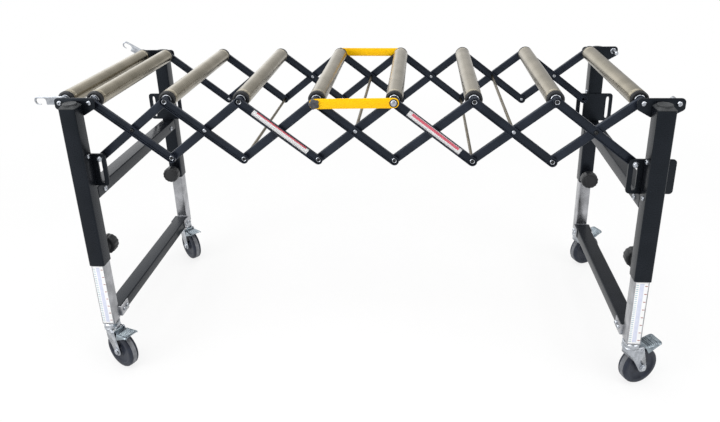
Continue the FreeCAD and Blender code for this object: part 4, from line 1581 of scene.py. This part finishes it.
    def lower_edge(self, steps: int) -> np.ndarray:
        """The lower edge of a cheek: an arc from behind the axle round its eye, then a line up the slanting front.

        Args:
            steps: its points.

        Returns:
            Pairs of trail and height, of shape (steps, 2).
        """
        turn = np.linspace(*self.eye_arc, steps // 2)
        eye_edge = np.array([self.trail, self.wheel_radius]) + self.eye * directions(turn)
        share = np.linspace(0, 1, steps - steps // 2 + 1)[1:, None]
        front = eye_edge[-1] + share * (np.array([0.0, self.cheek_skirt]) - eye_edge[-1])
        return np.concatenate([eye_edge, front])

    def fittings(self) -> list[Shape]:
        """The bearing cup, the axle with its bolt head, nut and washers, and the heads of the pedal's cross pin.

        Returns:
            Their shapes.
        """
        shapes = [lathe([(self.crown + rise, radius) for rise, radius in self.cup], steps=44).at(self.place)]
        for facing, height in ((-1, self.head_height), (1, self.nut_height)):
            axle = self.across(self.trail, self.wheel_radius, facing)
            pin = self.across(self.pivot_along, self.pivot[2] / MM, facing)
            shapes.append(washer(*self.axle_washer).at(axle.lifted(self.half)))
            shapes.append(hex_nut(self.axle_nut, height).at(axle.lifted(self.half)))
            shapes.append(button_head(*self.pin_head).at(pin.lifted(self.half)))
            end = self.half - self.wall - 0.4
            shapes.append(lathe([(-0.2, self.axle_radius), (end, self.axle_radius)], steps=20).at(axle))
        return shapes

    def make_wheel(self) -> None:
        """Makes the moulded wheel and its running band, both turned profiles of place across and radius."""
        node = f"{self.name}_wheel"
        place = self.across(self.trail, self.wheel_radius, 1)
        half, radius = self.wheel_half, self.wheel_radius
        side = [(half, 6.2), (half, 13.0), (half - 1.5, 14.5), (half - 3.5, 15.5), (half - 3.8, 31.0),
                (half - 2.6, 34.0), (half - 0.6, 36.0), (half - 0.2, 42.0), (half - 1.6, 45.0),
                (half - 4.2, radius - 0.5)]
        disc = lathe([(-height, size) for height, size in side] + side[::-1], self.wheel_sides, looped=True)
        add_piece(f"{node}.disc", [disc.at(place)], WHEEL_RUBBER, node, [node])
        band = self.tread_share * half
        tread = lathe([
            (-band, radius - 1.5), (-band, radius - 0.35), (-band + 1.5, radius - 0.05), (0, radius),
            (band - 1.5, radius - 0.05), (band, radius - 0.35), (band, radius - 1.5),
        ], self.wheel_sides, looped=True)
        add_piece(f"{node}.tread", [tread.at(place)], GREY_TREAD, node)

    def make_pedal(self) -> None:
        """Makes the pressed brake pedal with its ribbed tread, and the barrel that it turns on."""
        node = f"{self.name}_pedal"
        rise = math.radians(self.pedal_rise)
        u = self.place.u * math.cos(rise) + self.place.w * math.sin(rise)
        place = Place(self.pivot, u, self.place.v, np.cross(u, self.place.v))
        barrel = capped_rod(self.barrel_radius, -self.barrel_half, self.barrel_half)
        barrel = barrel.at(self.across(self.pivot_along, self.pivot[2] / MM, 1))
        add_piece(f"{node}.tread", [self.tread().at(place), barrel], PEDAL_ZINC_PAINTED_SHADE, node, [node], crease=40.0)

    def tread(self) -> Shape:
        """The pedal: cross sections along it, widening past the neck, with ribs z = 1.6 |sin| - 0.7 across.

        Its sides turn down into skirts that are deepest behind the neck and run out at the tip.

        Returns:
            The pedal, along its first direction from its pivot.
        """
        length, neck = self.pedal_length, self.pedal_neck
        along = np.linspace(0, length, 113)
        spread = np.clip((along - neck + 2) / 4, 0, 1)
        spread = spread * spread * (3 - 2 * spread)
        tip = np.sqrt(np.clip(1 - ((along - (length - 6)) / 6.5).clip(0) ** 2, 0, 1))
        half = (self.neck_half + (self.tread_half - self.neck_half) * spread) * (0.72 + 0.28 * tip)
        ribbed = ((along > neck + self.rib_margin) & (along < length - self.rib_margin)).astype(float)
        phase = math.pi * (along - neck - self.rib_margin) / self.rib_pitch
        rib = (self.rib_height * np.abs(np.sin(phase)) - self.rib_sink) * ribbed
        share = np.linspace(-1, 1, 25)
        skirt = -np.clip((np.abs(share) - 0.86) / 0.14, 0, 1) ** 2
        stop = length - self.skirt_stop
        drop = self.skirt_least + self.skirt_more * np.clip((stop - along) / (stop - neck), 0, 1)
        flat = np.clip((0.8 - np.abs(share)) / 0.08, 0, 1)
        across = half[:, None] * share[None]
        top = self.pedal_level + rib[:, None] * flat[None] + (spread * drop)[:, None] * skirt[None]
        over = np.stack([np.broadcast_to(along[:, None], across.shape), across, top], axis=-1)
        under = over - np.array([0, 0, self.pedal_thick])
        return skin(np.concatenate([over, under[:, ::-1]], axis=1) * MM)


@dataclass
class CouplingHook:
    """A flat hook on the left end's outer axle. Places along it are distances from that axle."""

    rail: Rail
    length: float = 61.6
    half: float = 10.0
    thick: float = 4.0
    throat_near: float = 43.0
    mouth: float = 57.0
    throat_far: float = 68.0
    throat_top: float = 5.5
    lip: float = 1.5
    corners: tuple[float, ...] = (9.9, 9.9, 9.6, 9.6, 0.4, 0.6, 6.5, 6.5, 6.5, 1.5)
    lowest_deg: float = -80.0

    def build(self) -> None:
        """Makes the hook where its node stands."""
        node = f"{self.rail.label}_hook"
        pivot = joint_at(f"{node}_swing")
        low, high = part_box(node)
        tilt = self.tilt(node)
        along = np.array([math.cos(tilt), 0.0, -math.sin(tilt)])
        up = np.array([math.sin(tilt), 0.0, math.cos(tilt)])
        origin = np.array([pivot[0], low[1] if self.rail is Rail.BACK else high[1], pivot[2]])
        place = Place(origin, along, up, np.array([0.0, self.rail.value, 0.0]))
        add_piece(f"{node}.blade", [slab(self.outline(), self.thick, edge=0.6).at(place)], ZINC, node, [node])

    def tilt(self, node: str) -> float:
        """How far the hook is swung up from level, in radians, from where its swing stops."""
        return math.radians(self.lowest_deg - JOINTS[f"{node}_swing"]["range_deg"][0])

    def outline(self) -> np.ndarray:
        """The hook's outline: a round-ended bar with a long throat that opens downwards behind its tip.

        Returns:
            Points about the axle, with the tip towards minus.
        """
        tip, half = -self.length - self.half, self.half
        return rounded([
            (half, -half), (half, half), (tip, half), (tip, -half), (-self.mouth, -half),
            (-self.mouth, self.lip - half), (-self.throat_far, self.lip - half), (-self.throat_far, self.throat_top),
            (-self.throat_near, self.throat_top), (-self.throat_near, -half),
        ], self.corners, steps=10)


@dataclass
class LockingLink:
    """A yellow locking link over two neighbouring axles, with its stud bolt and lobed knob."""

    rail: Rail
    half: float = 11.5
    thick: float = 3.0
    stud_ring: tuple[float, float] = (9.4, 1.2)
    dome_foot: float = 1.0
    dome_rise: float = 3.4
    dome_radius: float = 7.4
    knob_radius: float = 12.0
    knob_thick: float = 13.0
    knob_sides: int = 80
    lobes: int = 5
    lobe_share: float = 0.12
    lobe_offset: float = 0.35
    screw_radius: float = 4.0
    screw_stand: float = 0.6
    screw_end: float = 3.0
    knob_washer: tuple[float, float] = (7.0, 0.9)

    def build(self) -> None:
        """Makes the link, the bolt at its stud and the knob at its far end."""
        node, knob = f"{self.rail.label}_link", f"{self.rail.label}_link_knob"
        low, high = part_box(node)
        stud, clamp = joint_at(f"{node}_swing"), joint_at(f"{knob}_turn")
        inner = low[1] if self.rail is Rail.BACK else high[1]
        place = turned_about_y(np.array([stud[0], inner, stud[2]]), clamp - stud, self.rail.value)
        strip = slab(stadium(abs(clamp[0] - stud[0]) / MM, self.half, steps=16), self.thick)
        add_piece(f"{node}.strip", [strip.at(place)], YELLOW_ENAMEL, node, [node])
        outer = place.lifted(self.thick)
        add_piece(f"{node}.ring", [washer(*self.stud_ring).at(outer)], BLACK_NYLON, node)
        add_piece(f"{node}.bolt", [self.dome().at(outer)], ZINC, node)
        seat = Place(np.array([clamp[0], outer.origin[1], clamp[2]]), place.u, place.v, place.w)
        add_piece(f"{knob}.grip", [self.grip().at(seat)], KNOB_GREY, knob, [knob])
        screw = capped_rod(self.screw_radius, -self.thick - self.screw_stand, self.screw_end)
        add_piece(f"{knob}.screw", [screw.at(seat), washer(*self.knob_washer).at(seat)], ZINC, knob)

    def dome(self) -> Shape:
        """The stud's domed head, a quarter of an ellipse turned round."""
        along, up = directions(np.linspace(0, 0.46 * math.pi, 8)).T
        return lathe(np.stack([self.dome_foot + self.dome_rise * up, self.dome_radius * along], axis=-1), steps=32)

    def grip(self) -> Shape:
        """The knob: r = R(h) (1 + 0.12 f(h) (cos 5 a - 0.35)), rounded over at its face.

        Returns:
            The knob about its screw's axis, from rows of height, radius and share of the lobes.
        """
        size, top = self.knob_radius, self.knob_thick
        profile = np.array([
            (0.4, 8.0, 0), (1.2, 9.4, 0.4), (3.0, 11.0, 1), (4.0, size - 0.4, 1), (9.5, size - 0.4, 1),
            (11.6, size - 1.4, 1), (12.6, size - 3.6, 0.7), (top, 5.0, 0), (top - 0.5, 4.4, 0), (top - 0.5, 0.4, 0),
        ])
        wave = np.cos(self.lobes * full_turn(self.knob_sides)) - self.lobe_offset
        return turned(profile[:, 0], profile[:, 1:2] * (1 + self.lobe_share * profile[:, 2:3] * wave[None]))


@dataclass
class ArmLabel:
    """A plain printed strip along the recess of a front falling arm."""

    cell: int
    start: float
    length: float
    stripe: float
    ink: Finish
    width: float = 14.6
    corner: float = 1.0
    margin: float = 1.6
    near_margin: float = 9.0
    far_margin: float = 7.0

    def build(self) -> None:
        """Makes the white film and its stripe, which stops short of the film's ends."""
        body = f"fall_{self.cell}"
        cell = ScissorCell(self.cell)
        floor = DEPTHS.y(Rail.FRONT, cell.outer_web)
        place = turned_about_y(np.array([cell.top[0], floor, cell.top[2]]), cell.middle - cell.top, -1.0)
        end, half = self.start + self.length, self.width / 2
        strip = film(rounded(patch(self.start, end, -half, half), self.corner))
        add_piece(f"{body}.label", [strip.at(place)], WHITE_VINYL, body)
        upper = 1.0 if place.v[2] > 0 else -1.0
        low, high = sorted((upper * (half - self.stripe - self.margin), upper * (half - self.margin)))
        stripe = print_on_film(patch(self.start + self.near_margin, end - self.far_margin, low, high))
        add_piece(f"{body}.label_stripe", [stripe.at(place)], self.ink, body)


# Studio


def looking(right: np.ndarray, back: np.ndarray, place: Sequence[float]) -> Matrix:
    """Gives the matrix of a camera or lamp, which looks against its third direction.

    Args:
        right: its first direction.
        back: its third direction.
        place: where it stands, in metres.

    Returns:
        The matrix.
    """
    turn = np.eye(4)
    turn[:3] = np.column_stack([right, np.cross(back, right), back, place])
    return Matrix(turn)


@dataclass
class Studio:
    """The pale floor, the soft light and the camera at the photograph's viewing angle, in metres.

    A side of the reflected surroundings is where along X it starts and ends, and how bright it is at each.
    """

    eye: tuple[float, float, float] = (0.146663, -1.530218, 1.105433)
    right: tuple[float, float, float] = (0.994647, 0.098859, -0.030085)
    ahead: tuple[float, float, float] = (-0.103176, 0.933926, -0.342254)
    lens: float = 31.3973
    sensor: float = 36.0
    shift: tuple[float, float] = (0.004551, -0.112059)
    sight: float = 50.0
    floor_half: float = 12.0
    near_share: float = 0.8
    fade: tuple[float, float] = (0.9, 2.2)
    light_level: float = 0.55
    left_side: tuple[float, float, float, float] = (-0.38, -0.12, 1.8, 1.0)
    right_side: tuple[float, float, float, float] = (0.0, 0.36, 1.0, 0.6)

    def build(self) -> None:
        """Sets up the whole studio."""
        bpy.context.scene.view_settings.view_transform = "Standard"
        self.make_camera()
        self.make_floor()
        self.make_world()
        self.make_lights()

    def make_camera(self) -> None:
        """Places the camera from its right and forward directions."""
        data = bpy.data.cameras.new("camera")
        data.lens = self.lens
        data.sensor_width = self.sensor
        data.shift_x, data.shift_y = self.shift
        data.clip_end = self.sight
        camera = bpy.data.objects.new("camera", data)
        camera.matrix_world = looking(np.array(self.right), -np.array(self.ahead), self.eye)
        bpy.context.scene.collection.objects.link(camera)
        bpy.context.scene.camera = camera

    def seen(self, tree: bpy.types.NodeTree) -> bpy.types.NodeSocket:
        """Gives 1 for rays that show the background: from the camera, from gloss and through glass.

        Args:
            tree: the tree that its nodes go into.

        Returns:
            The socket with that number.
        """
        path = add_node(tree, "ShaderNodeLightPath").outputs
        most = {"operation": "MAXIMUM"}
        either = add_node(tree, "ShaderNodeMath", {0: path["Is Camera Ray"], 1: path["Is Glossy Ray"]}, most)
        both = add_node(tree, "ShaderNodeMath", {0: either.outputs[0], 1: path["Is Transmission Ray"]}, most)
        return both.outputs[0]

    def make_floor(self) -> None:
        """Makes the floor: white paper that keeps part of the object's shadow and fades to white further out."""
        size = self.floor_half
        mesh = bpy.data.meshes.new("floor")
        mesh.from_pydata([(-size, -size, 0), (size, -size, 0), (size, size, 0), (-size, size, 0)], [], [(0, 1, 2, 3)])
        material = bpy.data.materials.new("white_paper")
        tree = cleared_tree(material)
        where = add_node(tree, "ShaderNodeTexCoord").outputs["Object"]
        fibre = add_node(tree, "ShaderNodeTexNoise", {"Vector": where, "Scale": 3.0})
        tone = add_node(
            tree, "ShaderNodeValToRGB", {"Fac": fibre.outputs["Fac"]}, stops=[(0.3, "#f6f6f6"), (0.7, "#fafafa")],
        )
        paper = add_node(tree, "ShaderNodeBsdfDiffuse", {"Color": tone.outputs["Color"]})
        glow = add_node(tree, "ShaderNodeEmission", {"Color": linear("#ffffff"), "Strength": 1.0})
        away = add_node(tree, "ShaderNodeVectorMath", {0: where}, {"operation": "LENGTH"}).outputs["Value"]
        fade = add_node(tree, "ShaderNodeMapRange", {
            "Value": away, "From Min": self.fade[0], "From Max": self.fade[1],
            "To Min": self.near_share, "To Max": 1.0,
        })
        share = add_node(tree, "ShaderNodeMath", {0: self.seen(tree), 1: fade.outputs[0]}, {"operation": "MULTIPLY"})
        mixed = add_node(tree, "ShaderNodeMixShader", {0: share.outputs[0], 1: paper.outputs[0], 2: glow.outputs[0]})
        add_node(tree, "ShaderNodeOutputMaterial", {"Surface": mixed.outputs[0]})
        mesh.materials.append(material)
        floor = bpy.data.objects.new("floor", mesh)
        bpy.context.scene.collection.objects.link(floor)

    def make_world(self) -> None:
        """Makes the white surroundings: dimmer as light than as a background, and brighter to the left in reflections.

        The reflected brightness is the product of two ramps along X, one for each side.
        """
        world = bpy.data.worlds.new("studio")
        tree = cleared_tree(world)
        light = add_node(tree, "ShaderNodeBackground", {"Color": linear("#ffffff"), "Strength": self.light_level})
        way = add_node(tree, "ShaderNodeTexCoord").outputs["Generated"]
        x = add_node(tree, "ShaderNodeSeparateXYZ", {"Vector": way}).outputs["X"]
        left, right = (add_node(tree, "ShaderNodeMapRange", {
            "Value": x, "From Min": start, "From Max": end, "To Min": first, "To Max": last,
        }) for start, end, first, last in (self.left_side, self.right_side))
        glossy = add_node(tree, "ShaderNodeLightPath").outputs["Is Glossy Ray"]
        times = {"operation": "MULTIPLY"}
        sides = add_node(tree, "ShaderNodeMath", {0: left.outputs[0], 1: right.outputs[0]}, times)
        level = add_node(tree, "ShaderNodeMix", {0: glossy, 2: 1.0, 3: sides.outputs[0]})
        shown = add_node(tree, "ShaderNodeBackground", {"Color": linear("#ffffff"), "Strength": level.outputs[0]})
        mixed = add_node(tree, "ShaderNodeMixShader", {0: self.seen(tree), 1: light.outputs[0], 2: shown.outputs[0]})
        add_node(tree, "ShaderNodeOutputWorld", {"Surface": mixed.outputs[0]})
        bpy.context.scene.world = world

    def make_lights(self) -> None:
        """Hangs a large soft lamp above and a weaker one to each side."""
        self.lamp("overhead", (0.0, -0.4, 3.0), (0.0, 0.0, 0.4), 3.0, 60.0)
        self.lamp("left", (-2.6, -2.0, 1.8), (-0.3, 0.0, 0.4), 1.6, 28.0)
        self.lamp("right", (2.6, -1.6, 2.0), (0.3, 0.0, 0.4), 1.6, 18.0)

    def lamp(
        self, name: str, place: Sequence[float], target: Sequence[float], size: float, power: float,
    ) -> None:
        """Adds one square lamp that faces a point.

        Args:
            name: the lamp's name.
            place: where it hangs.
            target: the point that it faces.
            size: its side.
            power: its power, in watts.
        """
        data = bpy.data.lights.new(name, "AREA")
        data.size = size
        data.energy = power
        item = bpy.data.objects.new(name, data)
        away = np.array(place) - np.array(target)
        away = away / np.linalg.norm(away)
        right = np.cross([0.0, 1.0, 0.0], away)
        item.matrix_world = looking(right / np.linalg.norm(right), away, place)
        bpy.context.scene.collection.objects.link(item)


def main() -> None:
    """Builds the studio and the conveyor's pieces in order."""
    logging.basicConfig(level=logging.INFO, format="%(name)s: %(message)s")
    Studio().build()
    for number in range(1, ROLLERS + 1):
        Roller(number).build()
    for number in range(CELLS):
        ScissorCell(number).build()
    for end in End:
        EndFrame(end).build()
        LowerFrame(end).build()
        for rail in Rail:
            HeightKnob(end, rail).build()
            Caster(end, rail).build()
    for rail in Rail:
        CouplingHook(rail).build()
        LockingLink(rail).build()
    ArmLabel(cell=2, start=38.0, length=152.0, stripe=3.2, ink=RED_INK).build()
    ArmLabel(cell=4, start=40.0, length=146.0, stripe=6.2, ink=PINK_INK).build()


if __name__ == "__main__":
    main()
